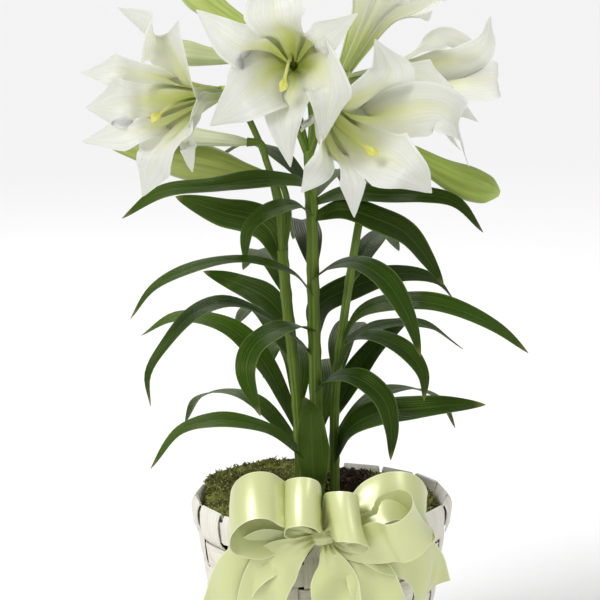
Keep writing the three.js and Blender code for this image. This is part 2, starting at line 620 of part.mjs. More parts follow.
function soil() {
  const inset = POT.wall + 0.4;
  const bottom = POT.bottom + POT.wall + 0.4;
  const profile = [[0, bottom], [POT.footRadius - inset, bottom], [POT.topRadius - inset - 0.2, SOIL_TOP[2][1] - 1]];
  profile.push([SOIL_TOP[2][0] - 1, SOIL_TOP[2][1]], [SOIL_TOP[1][0], SOIL_TOP[1][1]], [0, SOIL_TOP[0][1]]);
  const cavity = bulbBody(0.6);
  const holes = stemHoles(BULB.bottom + BULB.height - 10, 160);
  return [cavity, ...holes].reduce((rest, hole) => rest.subtract(hole), turned(profile));
}

function growerPot() {
  const { bottom, top, footRadius, topRadius, wall, lip } = POT;
  return turned([[0, bottom], [footRadius, bottom], [topRadius, top - 6], [topRadius + lip, top - 6], [topRadius + lip, top],
    [topRadius - wall, top], [topRadius - wall, top - 5], [footRadius - wall, bottom + wall], [0, bottom + wall]]);
}

// Moss round the stems, open where bare soil shows at the right, spilling over the rim at the back left.
function moss() {
  const list = [];
  for (let i = 0; i < AROUND; i += 1) {
    const angle = (2 * Math.PI * i) / AROUND;
    const right = Math.max(0, Math.cos(angle - radians(20)));
    const hole = 25 + 12 * right ** 3 + 3 * random();
    const spill = spillAt(angle);
    const front = ease(0.3, 0.9, Math.cos(angle + radians(90)));
    const edge = 80.5 + 8 * ease(0.5, 1, spill);
    const over = ease(0, 0.5, spill);
    const height = (z) => z + 2.4 * (random() - 0.5);
    const floor = (r) => lookup(SOIL_TOP, r) + 0.7;
    const ring = [
      [hole, floor(hole)], [hole + 1, height(150.5)], [mix(hole, 80, 0.3), height(152.5 + 2 * spill)],
      [mix(hole, 80, 0.65), height(152.5 + 3 * spill)], [74, height(151 + 5 * spill - 2 * front)],
      [edge - 3, height(148 + 9.5 * spill - 2 * front)], [edge, mix(144, 155.2, over) + 0.4 * spill],
      [80, mix(141, 154.2, over)], [79.5, 140], [SOIL_TOP[2][0], floor(75)],
    ];
    list.push(ring.map(([r, z]) => polar(r, angle, z)));
  }
  return closedLoop(list);
}

function strip([width, first, middle, last, ...points]) {
  const loop = points.length > 6;
  const stations = loop ? 9 : 5;
  const path = smooth(points, stations);
  const along = tangents(path);
  const grid = path.map((p, i) => {
    const t = i / stations;
    const across = t < 0.5 ? vec(first).lerp(vec(middle), 2 * t) : vec(middle).lerp(vec(last), 2 * t - 1);
    across.addScaledVector(along[i], -across.dot(along[i])).normalize();
    const open = mix(0.2, 1, ease(0, loop ? 0.25 : 0.4, loop ? Math.min(t, 1 - t) : t));
    return [-1, 1].map((u) => p.clone().addScaledVector(across, u * width / 2 * open));
  });
  return slab(grid, RIBBON_THICKNESS);
}

function bow() {
  const size = [[0, 4.5], [0.5, 7.2], [1, 4.5]];
  const knot = tube([[-7, -103, 153], [0, -105, 153.5], [7, -103, 153]], 4, 8, (t) => lookup(size, t));
  return fuse([knot, ...BOW.map((row) => strip(row))]);
}

const part = new THREE.Group();
part.name = 'potted_easter_lily';

function add(name, body, colour, roughness) {
  part.add(node(name, body, colour, roughness));
}

add('basket_base', turned([[0, 0], [FOOT_RADIUS - 1.5, 0], [FOOT_RADIUS - 1.2, 3], [0, 3]]), COLOURS.chip);
for (let i = 0; i < STAVES; i += 1) add(`stave_${String(i + 1).padStart(2, '0')}`, stave(i), COLOURS.chip);
for (let row = 0; row < ROWS; row += 1) add(`weaver_${row + 1}`, weaver(row), COLOURS.chip);
add('rim_hoop', hoop(), COLOURS.chip);
add('grower_pot', growerPot(), COLOURS.pot, 0.5);
add('soil', soil(), COLOURS.soil, 0.95);
add('bulb', bulbBody(), COLOURS.bulb, 0.6);
add('moss', moss(), COLOURS.moss, 0.95);
for (const name of Object.keys(STEMS)) add(`leafy_stem_${name}`, leafyStem(name), COLOURS.stem, 0.5);
BLOOMS.forEach((bloom, i) => {
  add(`bloom_${i + 1}`, bloomBody(bloom), COLOURS.tepal, 0.55);
  add(`pistil_${i + 1}`, pistil(bloom), COLOURS.pistil, 0.6);
});
for (const [name, row] of Object.entries(BUDS)) add(name, bud(row), row.colour, 0.5);
add('ribbon_bow', bow(), COLOURS.ribbon, 0.35);
add('bow_wire', tube(BOW_WIRE, 22, 4, () => WIRE_RADIUS), COLOURS.wire, 0.5);

export default part;
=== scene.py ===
import math

import bpy
import numpy as np
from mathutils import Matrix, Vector


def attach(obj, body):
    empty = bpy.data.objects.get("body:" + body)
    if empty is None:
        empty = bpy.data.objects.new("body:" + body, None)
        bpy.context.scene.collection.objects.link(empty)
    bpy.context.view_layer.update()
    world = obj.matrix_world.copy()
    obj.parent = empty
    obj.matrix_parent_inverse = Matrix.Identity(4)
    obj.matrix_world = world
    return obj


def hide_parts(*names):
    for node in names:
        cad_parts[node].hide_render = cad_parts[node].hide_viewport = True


# Potted Easter lily in a woven chipwood basket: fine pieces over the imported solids.
# Tables are in millimetres, with the origin at the centre of the basket's underside, +Z up and the
# front to -Y; meshes are written in metres.
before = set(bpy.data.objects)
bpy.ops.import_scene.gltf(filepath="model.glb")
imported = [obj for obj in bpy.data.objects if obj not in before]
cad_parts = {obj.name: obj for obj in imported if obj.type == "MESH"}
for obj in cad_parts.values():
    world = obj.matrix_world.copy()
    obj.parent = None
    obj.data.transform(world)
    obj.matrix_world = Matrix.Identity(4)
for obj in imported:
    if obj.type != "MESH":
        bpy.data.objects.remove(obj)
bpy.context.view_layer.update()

MM = 0.001
TURN = 2 * math.pi
rng = np.random.default_rng(11)
scene = bpy.context.scene

# Basket: staves, rows of weavers and the band of the rim hoop.
STAVES = 18
BASKET_HEIGHT = 154
FOOT_RADIUS = 63
RIM_RADIUS = 86.5
WEAVE_OFFSET = 0.85
STRIP = 0.9
STAVE_GAP = 4.2
ROWS = 7
ROW_PITCH = 18
FIRST_ROW = 4
ROW_GAP = 2.2
HOOP_BOTTOM = 132
HOOP_TOP = 150
HOOP_SIDE = 1.6
# Each stave ends at its own height: seeded draws between 0 and STAVE_LIFT.
STAVE_SEED = 7
SEED_FACTOR = 16807
SEED_MODULUS = 2147483647
STAVE_LIFT = 0.9
# The pot in the basket: height and radius of its foot, radius of its top, thickness.
POT_BOTTOM = 3.4
POT_FOOT = 56
POT_TOP = 77
POT_WALL = 1.3
# Soil: distance from the middle, height.
SOIL_TOP = [[0, 148], [30, 146.5], [75, 137.2]]
CRUMBS = 1300
# Grains of soil: steps from end to end, sides, depth of the lumps and proportions.
GRAIN_LEVELS = 4
GRAIN_SIDES = 7
GRAIN_LUMPS = 0.25
GRAIN_AXES = [[1], [0.75], [0.5]]
# Moss: it leaves a round hole for the stems, wider to the back right, and spills over the rim
# at the back left.
MOSS_HOLE = 26
CLEARING = 24
CLEARING_SIDE = math.radians(38)
SPILL_SIDE = math.radians(128)
SPRIGS = 9000
SPRIG_FACES = [(0, 1, 4, 3), (1, 2, 5, 4), (2, 0, 3, 5), (3, 4, 6), (4, 5, 6), (5, 3, 6), (2, 1, 0)]
# A patch behind the stems where the moss is thin and soil shows: its middle and its reach.
BARE_PATCH = (21, 44)
BARE_REACH = (20, 27)
PATCH_CRUMBS = 420
# Length of the tube at a bloom's foot.
KNOB_LENGTH = 12
# Stems: radius at the soil and at the top, points up the middle.
STEMS = {
    "left": [4.6, 3.6, [-14, 14, 90], [-14, 14, 160], [-17, 12, 219], [-24, 8, 288], [-27, 10, 322]],
    "middle": [5.0, 3.6, [-3, -4, 90], [-3, -4, 165], [-6, -2, 296], [-7, 6, 350], [-9, 30, 386]],
    "right": [3.6, 2.6, [10, 8, 90], [9, 8, 160], [9, 6, 219], [14, 6, 268], [27, 14, 350], [33, 20, 374]],
}
# Leaves by stem: width, tilt of the upper face to the front at root and tip in degrees, then points
# from root to tip. The last rows of each stem are on the far side.
LEAVES = {"left": [
    [24, 50, 60, [-26, 10, 312], [-38, 26, 336], [-69, 45, 343], [-102, 60, 352]],
    [19, 40, 50, [-23, 9, 272], [-39, 35, 285], [-61, 55, 292], [-83, 60, 299]],
    [20, 20, 30, [-15, 13, 193], [-26, 20, 215], [-41, 24, 242], [-64, 30, 264], [-101, 40, 270],
     [-126, 45, 256]],
    [20, 0, 0, [-14, 14, 182], [-40, 30, 206], [-66, 52, 214], [-88, 72, 204], [-98, 82, 184]],
    [20, 0, 0, [-14, 13, 212], [-17, 44, 236], [-24, 72, 246], [-34, 98, 236], [-42, 108, 212]],
    [20, 0, 0, [-20, 10, 246], [-36, 44, 268], [-50, 76, 270], [-62, 100, 252]],
    [19, 0, 0, [-25, 8, 292], [-34, 40, 310], [-46, 72, 312], [-56, 96, 294]],
], "middle": [
    [19, 25, 30, [-4, 0, 362], [-16, -8, 371], [-38, -20, 374], [-73, -30, 371], [-106, -30, 367],
     [-133, -25, 349]],
    [17, 20, 10, [-6, 4, 347], [-20, -18, 357], [-38, -27, 352], [-49, -29, 342], [-52, -27, 320]],
    [17, 15, 10, [-6, -2, 292], [-20, -20, 311], [-55, -40, 323], [-84, -50, 320], [-111, -55, 307],
     [-126, -55, 287]],
    [18, 20, 10, [-5, -3, 250], [-34, -18, 279], [-64, -27, 292], [-86, -35, 286], [-104, -45, 267],
     [-115, -50, 248], [-114, -50, 227]],
    [20, 10, 0, [-6, -3, 268], [-20, -30, 277], [-34, -44, 275], [-46, -54, 267], [-50, -64, 253],
     [-41, -70, 225]],
    [18, 20, 20, [-4, -4, 172], [-31, -14, 199], [-49, -22, 208], [-72, -25, 211], [-96, -25, 204],
     [-116, -25, 178]],
    [24, 0, 0, [-4, -4, 158], [-6, -13, 172], [-7, -18, 196], [-8, -20, 216], [-12, -27, 228]],
    [19, 25, 10, [-5, -3, 226], [8, -24, 241], [24, -40, 243], [40, -50, 232], [45, -55, 215],
     [45, -57, 192]],
    [21, 20, 10, [-6, -2, 304], [8, -20, 316], [23, -35, 320], [41, -50, 311], [55, -60, 290],
     [64, -62, 263]],
    [20, 40, 40, [-5, -3, 264], [-1, 30, 280], [23, 48, 290], [55, 60, 297], [80, 65, 292], [95, 65, 276]],
    [21, 40, 60, [-7, 4, 345], [14, -6, 352], [36, -8, 346], [56, 2, 335], [71, 8, 317], [83, 8, 298]],
    [19, 35, 30, [-7, 8, 354], [15, 2, 362], [45, -2, 361], [69, -6, 362], [89, -8, 357], [108, -8, 337]],
    [20, 0, 0, [-4, -3, 196], [2, 34, 222], [0, 64, 234], [-4, 92, 222], [-6, 106, 198]],
    [20, 0, 0, [-6, -1, 312], [-10, 36, 330], [-14, 70, 334], [-20, 98, 316]],
    [19, 0, 0, [-7, 10, 357], [4, 42, 370], [14, 74, 368], [20, 98, 348]],
    [18, 0, 0, [-8, 14, 364], [-32, 44, 384], [-54, 64, 388], [-74, 78, 376]],
], "right": [
    [24, 35, 40, [9, 7, 176], [20, -8, 202], [40, -18, 215], [65, -24, 219], [89, -25, 222],
     [110, -24, 222]],
    [17, 30, 30, [9, 7, 208], [22, 20, 232], [40, 34, 253], [60, 45, 266]],
    [20, 30, 25, [12, 5, 252], [24, -10, 280], [40, -20, 290], [68, -35, 294], [92, -40, 289],
     [115, -45, 279], [136, -45, 262]],
    [19, 20, 10, [11, 6, 238], [22, -16, 265], [36, -32, 270], [55, -45, 263], [66, -52, 249],
     [67, -52, 231]],
    [19, 0, 0, [9, 8, 190], [32, 26, 212], [58, 46, 218], [84, 60, 206], [96, 68, 184]],
    [19, 0, 0, [10, 6, 236], [15, 42, 256], [24, 72, 260], [34, 98, 244]],
    [18, 10, 10, [13, 5, 258], [40, 14, 268], [70, 22, 268], [98, 26, 250]],
    [18, 0, 0, [18, 6, 300], [34, 40, 322], [46, 70, 324], [56, 94, 308]],
]}
# Blooms: foot and throat of the trumpet, stigma, then six tepals, each with its bend at the mouth,
# its tip, its width and the twist at its tip.
BLOOMS = [
    [[-64, 4, 430], [-94, -75, 430], [-106, -114, 424],
     [[-100, -84, 470], [-131, -62, 490], 45, 20], [[-124, -98, 452], [-154, -78, 450], 33, 0],
     [[-122, -104, 434], [-150, -86, 428], 45, 0], [[-118, -112, 416], [-152, -98, 408], 33, 0],
     [[-102, -114, 402], [-114, -100, 374], 41, 20], [[-86, -100, 408], [-83, -90, 388], 31, 0]],
    [[-19, 12, 446], [-21, -70, 460], [-26, -116, 443],
     [[-30, -104, 486], [-33, -82, 521], 49, 0], [[-53, -108, 470], [-80, -88, 490], 35, 10],
     [[-48, -112, 438], [-71, -104, 419], 47, 0], [[-25, -116, 422], [-21, -112, 394], 33, 0],
     [[3, -110, 446], [-1, -110, 410], 43, 40], [[-4, -106, 472], [21, -92, 488], 33, 0]],
    [[-7, 21, 430], [10, -60, 413], [32, -108, 402],
     [[42, -78, 449], [33, -62, 470], 44, 0], [[77, -84, 426], [94, -60, 388], 35, 0],
     [[52, -112, 392], [68, -98, 376], 47, 0], [[18, -116, 386], [19, -110, 362], 35, 0],
     [[-2, -108, 396], [-14, -104, 377], 45, 0], [[-8, -94, 422], [-14, -76, 412], 31, 0]],
    [[-8, 45, 429], [58, 8, 436], [92, -12, 427],
     [[104, 4, 458], [113, 16, 480], 40, 0], [[120, 12, 438], [113, 38, 433], 40, 0],
     [[90, -6, 418], [103, -12, 412], 40, 0], [[78, -26, 414], [90, -40, 396], 33, 0],
     [[70, -32, 434], [84, -52, 438], 43, 0], [[84, 15, 466], [104, 25, 461], 34, 50]],
    [[10, 12, 435], [36, 21, 485], [54, 26, 518],
     [[67, 14, 486], [90, 6, 504], 42, 0], [[46, -2, 499], [56, -18, 520], 36, 0],
     [[21, 12, 510], [12, 4, 535], 46, 0], [[18, 42, 507], [7, 54, 530], 36, 0],
     [[39, 58, 493], [44, 78, 506], 44, 0], [[64, 44, 483], [84, 56, 490], 36, 0]],
]
# Pedicels by stem: the bloom or bud carried, then points between the two.
PEDICELS = {
    "left": [[0, [-30, 12, 350], [-40, 20, 388]], ["bud_pale", [-28, 2, 355], [-38, 0, 385]],
        ["bud_large", [-23, 9, 350]]],
    "middle": [[1, [-17, 40, 408]], [2, [-7, 42, 406]], [3, [-14, 52, 402]], [4, [-2, 27, 404]],
        ["bud_small", [-24, 40, 418], [-42, 32, 444]], ["bud_top", [-20, 48, 424], [-34, 44, 452]]],
    "right": [["bud_right", [38, 16, 386]]],
}
# Buds: foot, tip, largest radius, sag of the middle, outline, then the colours of ribs, body and tip.
BUDS = {
    "bud_large": [[-39, 10, 372], [-147, 10, 396], 14, -1, "pointed", "#7F8E3A", "#A7B25A", "#8E9C3E"],
    "bud_pale": [[-51, 0, 397], [-118, -12, 405], 7.5, 0, "blunt", "#B9C588", "#E6E8D2", "#F0F0E4"],
    "bud_small": [[-55, 22, 452], [-108, 2, 460], 8.5, 2, "blunt", "#AEBB74", "#DADFB6", "#E8EACB"],
    "bud_top": [[-47, 31, 469], [-98, 38, 508], 11.5, 4, "blunt", "#97A848", "#C3CF7C", "#D0D894"],
    "bud_right": [[54, 12, 392], [120, 8, 361], 12, 3, "blunt", "#788E34", "#9DB04E", "#A6B65C"],
}
# Outlines of the buds: share of the length, share of the radius.
BUD_OUTLINES = {
    "blunt": [[0, 0.3], [0.12, 0.52], [0.4, 0.74], [0.68, 1], [0.86, 0.86], [0.95, 0.5], [1, 0.16]],
    "pointed": [[0, 0.3], [0.13, 0.5], [0.3, 0.84], [0.47, 1], [0.66, 0.8], [0.8, 0.56], [0.92, 0.34],
        [1, 0.08]],
}
# The bow's strips: direction across the strip at its start, middle and end, then points along it.
# The first five are loops, the others tails.
RIBBON_WIDTH = 32
BOW = [
    [[0, 0.6, 0.8], [0, 0.6, 0.8], [0, 0.6, 0.8], [-5, -103, 155], [-21, -103, 155], [-42, -103, 153],
     [-56, -106, 158], [-59, -113, 169], [-54, -121, 180], [-45, -125, 186], [-35, -125, 186],
     [-26, -119, 179], [-15, -110, 167], [-4, -104, 156]],
    [[0, 0.5, 0.87], [0, 0.5, 0.87], [0, 0.5, 0.87], [-4, -105, 156], [-16, -106, 162], [-23, -111, 171],
     [-24, -119, 178], [-19, -126, 182], [-12, -128, 183], [-5, -125, 180], [-2, -118, 174],
     [-2, -111, 166], [-1, -106, 157]],
    [[-0.2, 0.35, 0.92], [-0.2, 0.35, 0.92], [-0.2, 0.35, 0.92], [2, -106, 156], [2, -110, 163],
     [4, -117, 169], [7, -124, 172], [14, -128, 173], [21, -126, 171], [25, -119, 166], [21, -112, 160],
     [13, -108, 156], [4, -105, 154]],
    [[-0.3, 0, 0.9], [-0.42, -0.45, 0.79], [-0.3, 0, 0.9], [3, -106, 153], [15, -110, 147], [39, -119, 154],
     [47, -126, 155], [57, -126, 160], [63, -119, 167], [62, -110, 172], [54, -102, 172], [43, -101, 167],
     [37, -107, 160], [17, -107, 158], [4, -103, 153]],
    [[0, 0.6, 0.8], [0, 0.5, 0.85], [0, 0.45, 0.9], [4, -100, 154], [19, -98, 154], [40, -94, 152],
     [58, -90, 154], [66, -90, 162], [63, -95, 172], [55, -101, 179], [42, -105, 180], [29, -105, 174],
     [16, -103, 164], [5, -101, 155]],
    [[-0.2, 0, 0.97], [-0.7, 0.25, 0.65], [-0.85, 0.45, 0.3], [-5, -103, 153], [-20, -107, 149],
     [-38, -108, 143], [-52, -103, 131], [-61, -96, 116], [-66, -88, 97]],
    [[-0.4, 0, 0.9], [-0.9, 0.15, 0.4], [-0.97, 0.25, 0], [-2, -106, 153], [-15, -111, 148],
     [-28, -111, 138], [-36, -108, 125], [-40, -101, 106], [-40, -92, 79]],
    [[1, 0, 0.1], [1, 0, 0.1], [1, 0.05, 0], [1, -107, 152], [3, -113, 145], [6, -113, 136], [8, -109, 118],
     [10, -103, 95], [9, -96, 70]],
    [[0.55, 0, 0.83], [0.9, 0.1, 0.4], [0.97, 0.2, 0.2], [4, -104, 152], [16, -107, 144], [28, -107, 130],
     [36, -103, 112], [41, -97, 88], [46, -90, 65]],
    [[0.2, 0.1, 0.97], [0.7, 0.5, 0.5], [0.75, 0.6, 0.2], [4, -102, 153], [21, -105, 149], [40, -105, 145],
     [58, -97, 138], [69, -86, 125], [72, -76, 107]],
]

# Curves and surfaces

def unit(v):
    """Vectors of length 1 along the last axis."""
    return v / np.maximum(np.linalg.norm(v, axis=-1, keepdims=True), 1e-9)


def mix(a, b, t):
    return a + (b - a) * t


def ease(a, b, x):
    t = np.clip((np.asarray(x, float) - a) / (b - a), 0, 1)
    return t * t * (3 - 2 * t)


def hump(t, a, b, c, d):
    """Rises from 0 to 1 between a and b, and falls again between c and d."""
    return ease(a, b, t) * (1 - ease(c, d, t))


def lookup(table, x):
    return np.interp(x, [row[0] for row in table], [row[1] for row in table])


def smooth(points, count):
    """Evenly spaced points on a centripetal curve through the given points."""
    p = [np.array(q, float) for q in points]
    p = [2 * p[0] - p[1]] + p + [2 * p[-1] - p[-2]]
    fine = []
    s = np.linspace(0, 1, 60, endpoint=False)[:, None]
    for a, b, c, d in zip(p, p[1:], p[2:], p[3:]):
        t0, t1, t2 = [max(np.linalg.norm(v), 1e-6) ** 0.5 for v in (b - a, c - b, d - c)]
        m1 = ((b - a) / t0 - (c - a) / (t0 + t1) + (c - b) / t1) * t1
        m2 = ((c - b) / t1 - (d - b) / (t1 + t2) + (d - c) / t2) * t1
        fine.append((2 * s**3 - 3 * s**2 + 1) * b + (s**3 - 2 * s**2 + s) * m1
                    + (3 * s**2 - 2 * s**3) * c + (s**3 - s**2) * m2)
    fine = np.vstack(fine + [p[-2][None]])
    run = np.concatenate([[0], np.cumsum(lengths(fine))])
    at = np.linspace(0, run[-1], count + 1)
    return np.stack([np.interp(at, run, values) for values in fine.T], 1)


def tangents(path):
    return unit(np.gradient(path, axis=0))


def square_to(across, along):
    """One across direction per station, square to the path."""
    return unit(across - along * np.sum(across * along, axis=1)[:, None])


def turn(v, axis, angle):
    """Vectors turned about an axis, row by row."""
    angle = np.broadcast_to(angle, len(v))[:, None]
    dot = np.sum(v * axis, axis=1)[:, None]
    return v * np.cos(angle) + np.cross(axis, v) * np.sin(angle) + axis * dot * (1 - np.cos(angle))


def surface(path, across, up, sideways, lift):
    """A row of points per station of a path, moved sideways and up."""
    return path[:, None] + across[:, None] * sideways[..., None] + up[:, None] * lift[..., None]


def quads(index, order):
    """Faces of a grid of vertex numbers, with the corners of each face in the given order."""
    corners = (index[:-1, :-1], index[:-1, 1:], index[1:, 1:], index[1:, :-1])
    return list(zip(*(corners[k].ravel().tolist() for k in order)))


def uv_grid(rows, columns):
    """Shares of the way across and along a grid of points."""
    v, u = np.meshgrid(np.linspace(0, 1, rows), np.linspace(0, 1, columns), indexing="ij")
    return np.stack([u, v], -1)


def circle(count):
    """Evenly spaced angles."""
    return TURN * np.arange(count) / count


def lengths(path):
    """Distances from each point to the next."""
    return np.linalg.norm(np.diff(path, axis=0), axis=1)


def lobed(profile, lobes, twist=0):
    """Radius of a tube by the share of its length and the angle round it, with shallow lobes."""
    return lambda t, a: lookup(profile, t) * (1 + 0.05 * np.cos(lobes * a + twist * t))


def waves(seed, count, low, high):
    """Smooth solid noise from a few seeded plane waves; call it with points in mm."""
    r = np.random.default_rng(seed)
    k = r.normal(size=(count, 3))
    k *= (r.uniform(low, high, count) / np.linalg.norm(k, axis=1))[:, None] * TURN
    phase = r.uniform(0, TURN, count)
    return lambda p: np.sin(np.asarray(p) @ k.T + phase).sum(-1) / math.sqrt(count)


class Shape:
    """Vertices and faces gathered from many surfaces, with uv and two values per vertex."""

    def __init__(self):
        self.points, self.faces, self.uv, self.tone, self.side = [], [], [], [], []
        self.count = 0

    def add(self, points, faces, uv, tone=0.5, side=1.0):
        points = np.asarray(points, float).reshape(-1, 3)
        n = len(points)
        self.points.append(points)
        self.faces += [tuple(i + self.count for i in face) for face in faces]
        self.uv.append(np.asarray(uv, float).reshape(-1, 2))
        self.tone.append(np.broadcast_to(tone, n).astype(float))
        self.side.append(np.broadcast_to(side, n).astype(float))
        self.count += n

    def sheet(self, grid, thickness, tone=0.5, closed=False, size=(1, 1)):
        """A surface given by rows of points, thickened to both sides; closed joins last row to first."""
        rows, columns = grid.shape[:2]
        if closed:
            ring = np.concatenate([grid[-1:], grid, grid[:1]])
            along = ring[2:] - ring[:-2]
        else:
            along = np.gradient(grid, axis=0)
        across = np.gradient(grid, axis=1)
        lift = unit(np.cross(along, across)) * np.broadcast_to(thickness, (rows, columns))[..., None] / 2
        uv = uv_grid(rows, columns) * size
        index = np.arange(rows * columns).reshape(rows, columns)
        back = rows * columns
        top = np.vstack([index, index[:1]]) if closed else index
        faces = quads(top, (1, 2, 3, 0)) + quads(top + back, (3, 2, 1, 0))
        edges = [(top[:, 0], (3, 2, 1, 0)), (top[:, -1], (2, 3, 0, 1))]
        if not closed:
            edges += [(index[0], (2, 3, 0, 1)), (index[-1], (3, 2, 1, 0))]
        for edge, order in edges:
            faces += quads(np.stack([edge, edge + back]), order)
        points = np.concatenate([(grid + lift).reshape(-1, 3), (grid - lift).reshape(-1, 3)])
        side = np.concatenate([np.ones(back), np.zeros(back)])
        self.add(points, faces, np.concatenate([uv.reshape(-1, 2)] * 2), tone, side)

    def rings(self, rings, tone=0.5, side=1.0):
        """Closed body through rings of points; the ends are closed by one face each."""
        rows, n = rings.shape[:2]
        index = np.arange(rows * n).reshape(rows, n)
        faces = quads(np.hstack([index, index[:, :1]]), (0, 1, 2, 3))
        faces += [index[0][::-1].tolist(), index[-1].tolist()]
        self.add(rings, faces, uv_grid(rows, n), tone, side)

    def tube(self, points, stations, sides, radius, tone=0.5, end=None):
        """Closed body along points; radius takes the share of the length and the angles round it."""
        path = smooth(points, stations)
        along = tangents(path)
        if end is not None:
            along[-1] = end
        angles = circle(sides)
        side = np.array([1.0, 0.0, 0.0])
        rings = []
        for p, way, t in zip(path, along, np.linspace(0, 1, stations + 1)):
            side = unit(side - way * (side @ way))
            other = np.cross(way, side)
            r = radius(t, angles)
            ring = np.outer(r * np.cos(angles), side) + np.outer(r * np.sin(angles), other)
            rings.append(p + ring)
        self.rings(np.array(rings), tone)

    def blob(self, centre, axes, tone, side=1.0, source=rng):
        """Small lumpy grain."""
        a = circle(GRAIN_SIDES)
        rings = []
        for i in range(GRAIN_LEVELS + 1):
            polar_angle = math.pi * (0.12 + 0.76 * i / GRAIN_LEVELS)
            ring = np.stack([np.sin(polar_angle) * np.cos(a), np.sin(polar_angle) * np.sin(a),
                             np.full(GRAIN_SIDES, -np.cos(polar_angle))], 1)
            rings.append(ring * (1 + source.uniform(-GRAIN_LUMPS, GRAIN_LUMPS, (GRAIN_SIDES, 1))))
        self.rings(np.array(rings) @ axes + np.asarray(centre), tone, side)


def piece(name, shape, material, nodes, sharp=50):
    """A mesh object that stands for the named nodes."""
    points = np.concatenate(shape.points) * MM
    mesh = bpy.data.meshes.new(name)
    mesh.from_pydata([tuple(p) for p in points], [], shape.faces)
    mesh.validate()
    corner = np.empty(len(mesh.loops), dtype=np.int32)
    mesh.loops.foreach_get("vertex_index", corner)
    layer = mesh.uv_layers.new(name="UVMap")
    layer.uv.foreach_set("vector", np.concatenate(shape.uv)[corner].ravel())
    for label, values in (("tone", shape.tone), ("side", shape.side)):
        attribute = mesh.attributes.new(label, "FLOAT", "POINT")
        attribute.data.foreach_set("value", np.concatenate(values).astype(np.float32))
    mesh.shade_smooth()
    mesh.set_sharp_from_angle(angle=math.radians(sharp))
    mesh.materials.append(material)
    obj = bpy.data.objects.new(name, mesh)
    scene.collection.objects.link(obj)
    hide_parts(*nodes)
    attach(obj, "root")
    return obj


# Leaves and stems

def stem_point(name, z):
    """The middle of a stem at a height."""
    _, _, *path = STEMS[name]
    return [lookup([(p[2], p[k]) for p in path], z) for k in (0, 1)] + [z]


def leaf_shape(t):
    """Share of a leaf's width along it, widest at 0.4."""
    rise = 0.3 + 0.7 * np.sin(math.pi / 2 * np.clip(t / 0.4, 0, 1))
    fall = np.cos(math.pi / 2 * np.clip((t - 0.4) / 0.6, 0, 1)) ** 0.7
    return np.maximum(0.02, np.where(t < 0.4, rise, fall))


def leaf(shape, name, row, stations=40, columns=12):
    width, tilt_root, tilt_tip, root, *points = row
    foot = stem_point(name, root[2])
    path = smooth([foot] + points, stations)
    along = tangents(path)
    chord = np.subtract(points[-1], foot)
    level = np.tile(unit(np.cross([0, 0, 1], chord)), (len(path), 1))
    t = np.linspace(0, 1, len(path))
    across = square_to(level, along)
    tilt = np.radians(mix(tilt_root, tilt_tip, t)) * np.sign(chord[0])
    across = turn(across, along, tilt)
    up = np.cross(along, across)
    half = width / 2 * leaf_shape(t)
    u = np.linspace(-1, 1, columns + 1)
    fold = np.sqrt(u**2 + 0.015) - 0.12
    arch = -0.10 * u**2
    phase = rng.uniform(0, TURN, 2)
    ripple = [0.09 * np.sin(TURN * (2.2 * t + 0.1 * k) + phase[k]) * hump(t, 0.1, 0.4, 0.85, 1)
              for k in (0, 1)]
    edge = np.where(u < 0, ripple[0][:, None], ripple[1][:, None]) * u**2
    lift = half[:, None] * (0.30 * fold + arch + edge)
    veins = 0.10 * np.cos(u * math.pi * 7) * hump(t, 0.05, 0.2, 0.8, 1)[:, None]
    grid = surface(path, across, up, half[:, None] * u, lift + veins)
    thick = 0.75 * (1 - 0.6 * u**2)[None] * (1 - 0.4 * t)[:, None]
    shape.sheet(grid, thick, tone=rng.uniform())


def trumpet(row):
    """Foot, direction and length of a bloom's trumpet or a bud."""
    foot, end = np.array(row[:2], float)
    length = np.linalg.norm(end - foot)
    return foot, (end - foot) / length, length


def pedicel(shape, name, row):
    """The stalk between a stem and a bloom or bud."""
    carried, *middle = row
    foot, axis, _ = trumpet(BLOOMS[carried] if isinstance(carried, int) else BUDS[carried])
    start = np.subtract(STEMS[name][-1], [0, 0, 4])
    ends = [start, *middle, foot - 10 * axis, foot - 0.4 * axis]
    size = [[0, 2.3], [0.7, 2.2], [0.93, 2.5], [1, 3.1]]
    shape.tube(ends, 30, 14, lobed(size, 3), tone=0.2, end=axis)


def leafy_stem(name, material):
    shape = Shape()
    lower, upper, *path = STEMS[name]
    roots = [row[3][2] for row in LEAVES[name]]

    def radius(t, a):
        z = mix(path[0][2], path[-1][2], t)
        swell = sum(0.45 * math.exp(-((z - r) / 3.5) ** 2) for r in roots)
        return mix(lower, upper, t) * (1 + 0.03 * np.cos(5 * a + 3 * t)) + swell

    shape.tube(path, 160, 20, radius, tone=0.0)
    first = shape.count
    for row in LEAVES[name]:
        leaf(shape, name, row)
    last = shape.count
    for row in PEDICELS[name]:
        pedicel(shape, name, row)
    obj = piece(f"lily_stem_{name}", shape, material, [f"leafy_stem_{name}"])
    # 1 on the leaves, 0 on the stem and pedicels
    kind = np.zeros(shape.count, np.float32)
    kind[first:last] = 1
    obj.data.attributes.new("kind", "FLOAT", "POINT").data.foreach_set("value", kind)


# Blooms and buds

def tepal_shape(t, wide):
    """Share of a tepal's width along it; the inner tepals are the wide ones."""
    table = [[0, 0.16], [0.15, 0.34], [0.3, 0.62], [0.42, 0.9], [0.5, 1.04 if wide else 0.95],
             [0.56, 1.08], [0.62, 1.08], [0.67, 1.03], [0.72, 0.94], [0.78, 0.78], [0.84, 0.58],
             [0.89, 0.4], [0.94, 0.23], [0.98, 0.1], [1, 0.02]]
    return lookup(table, t)


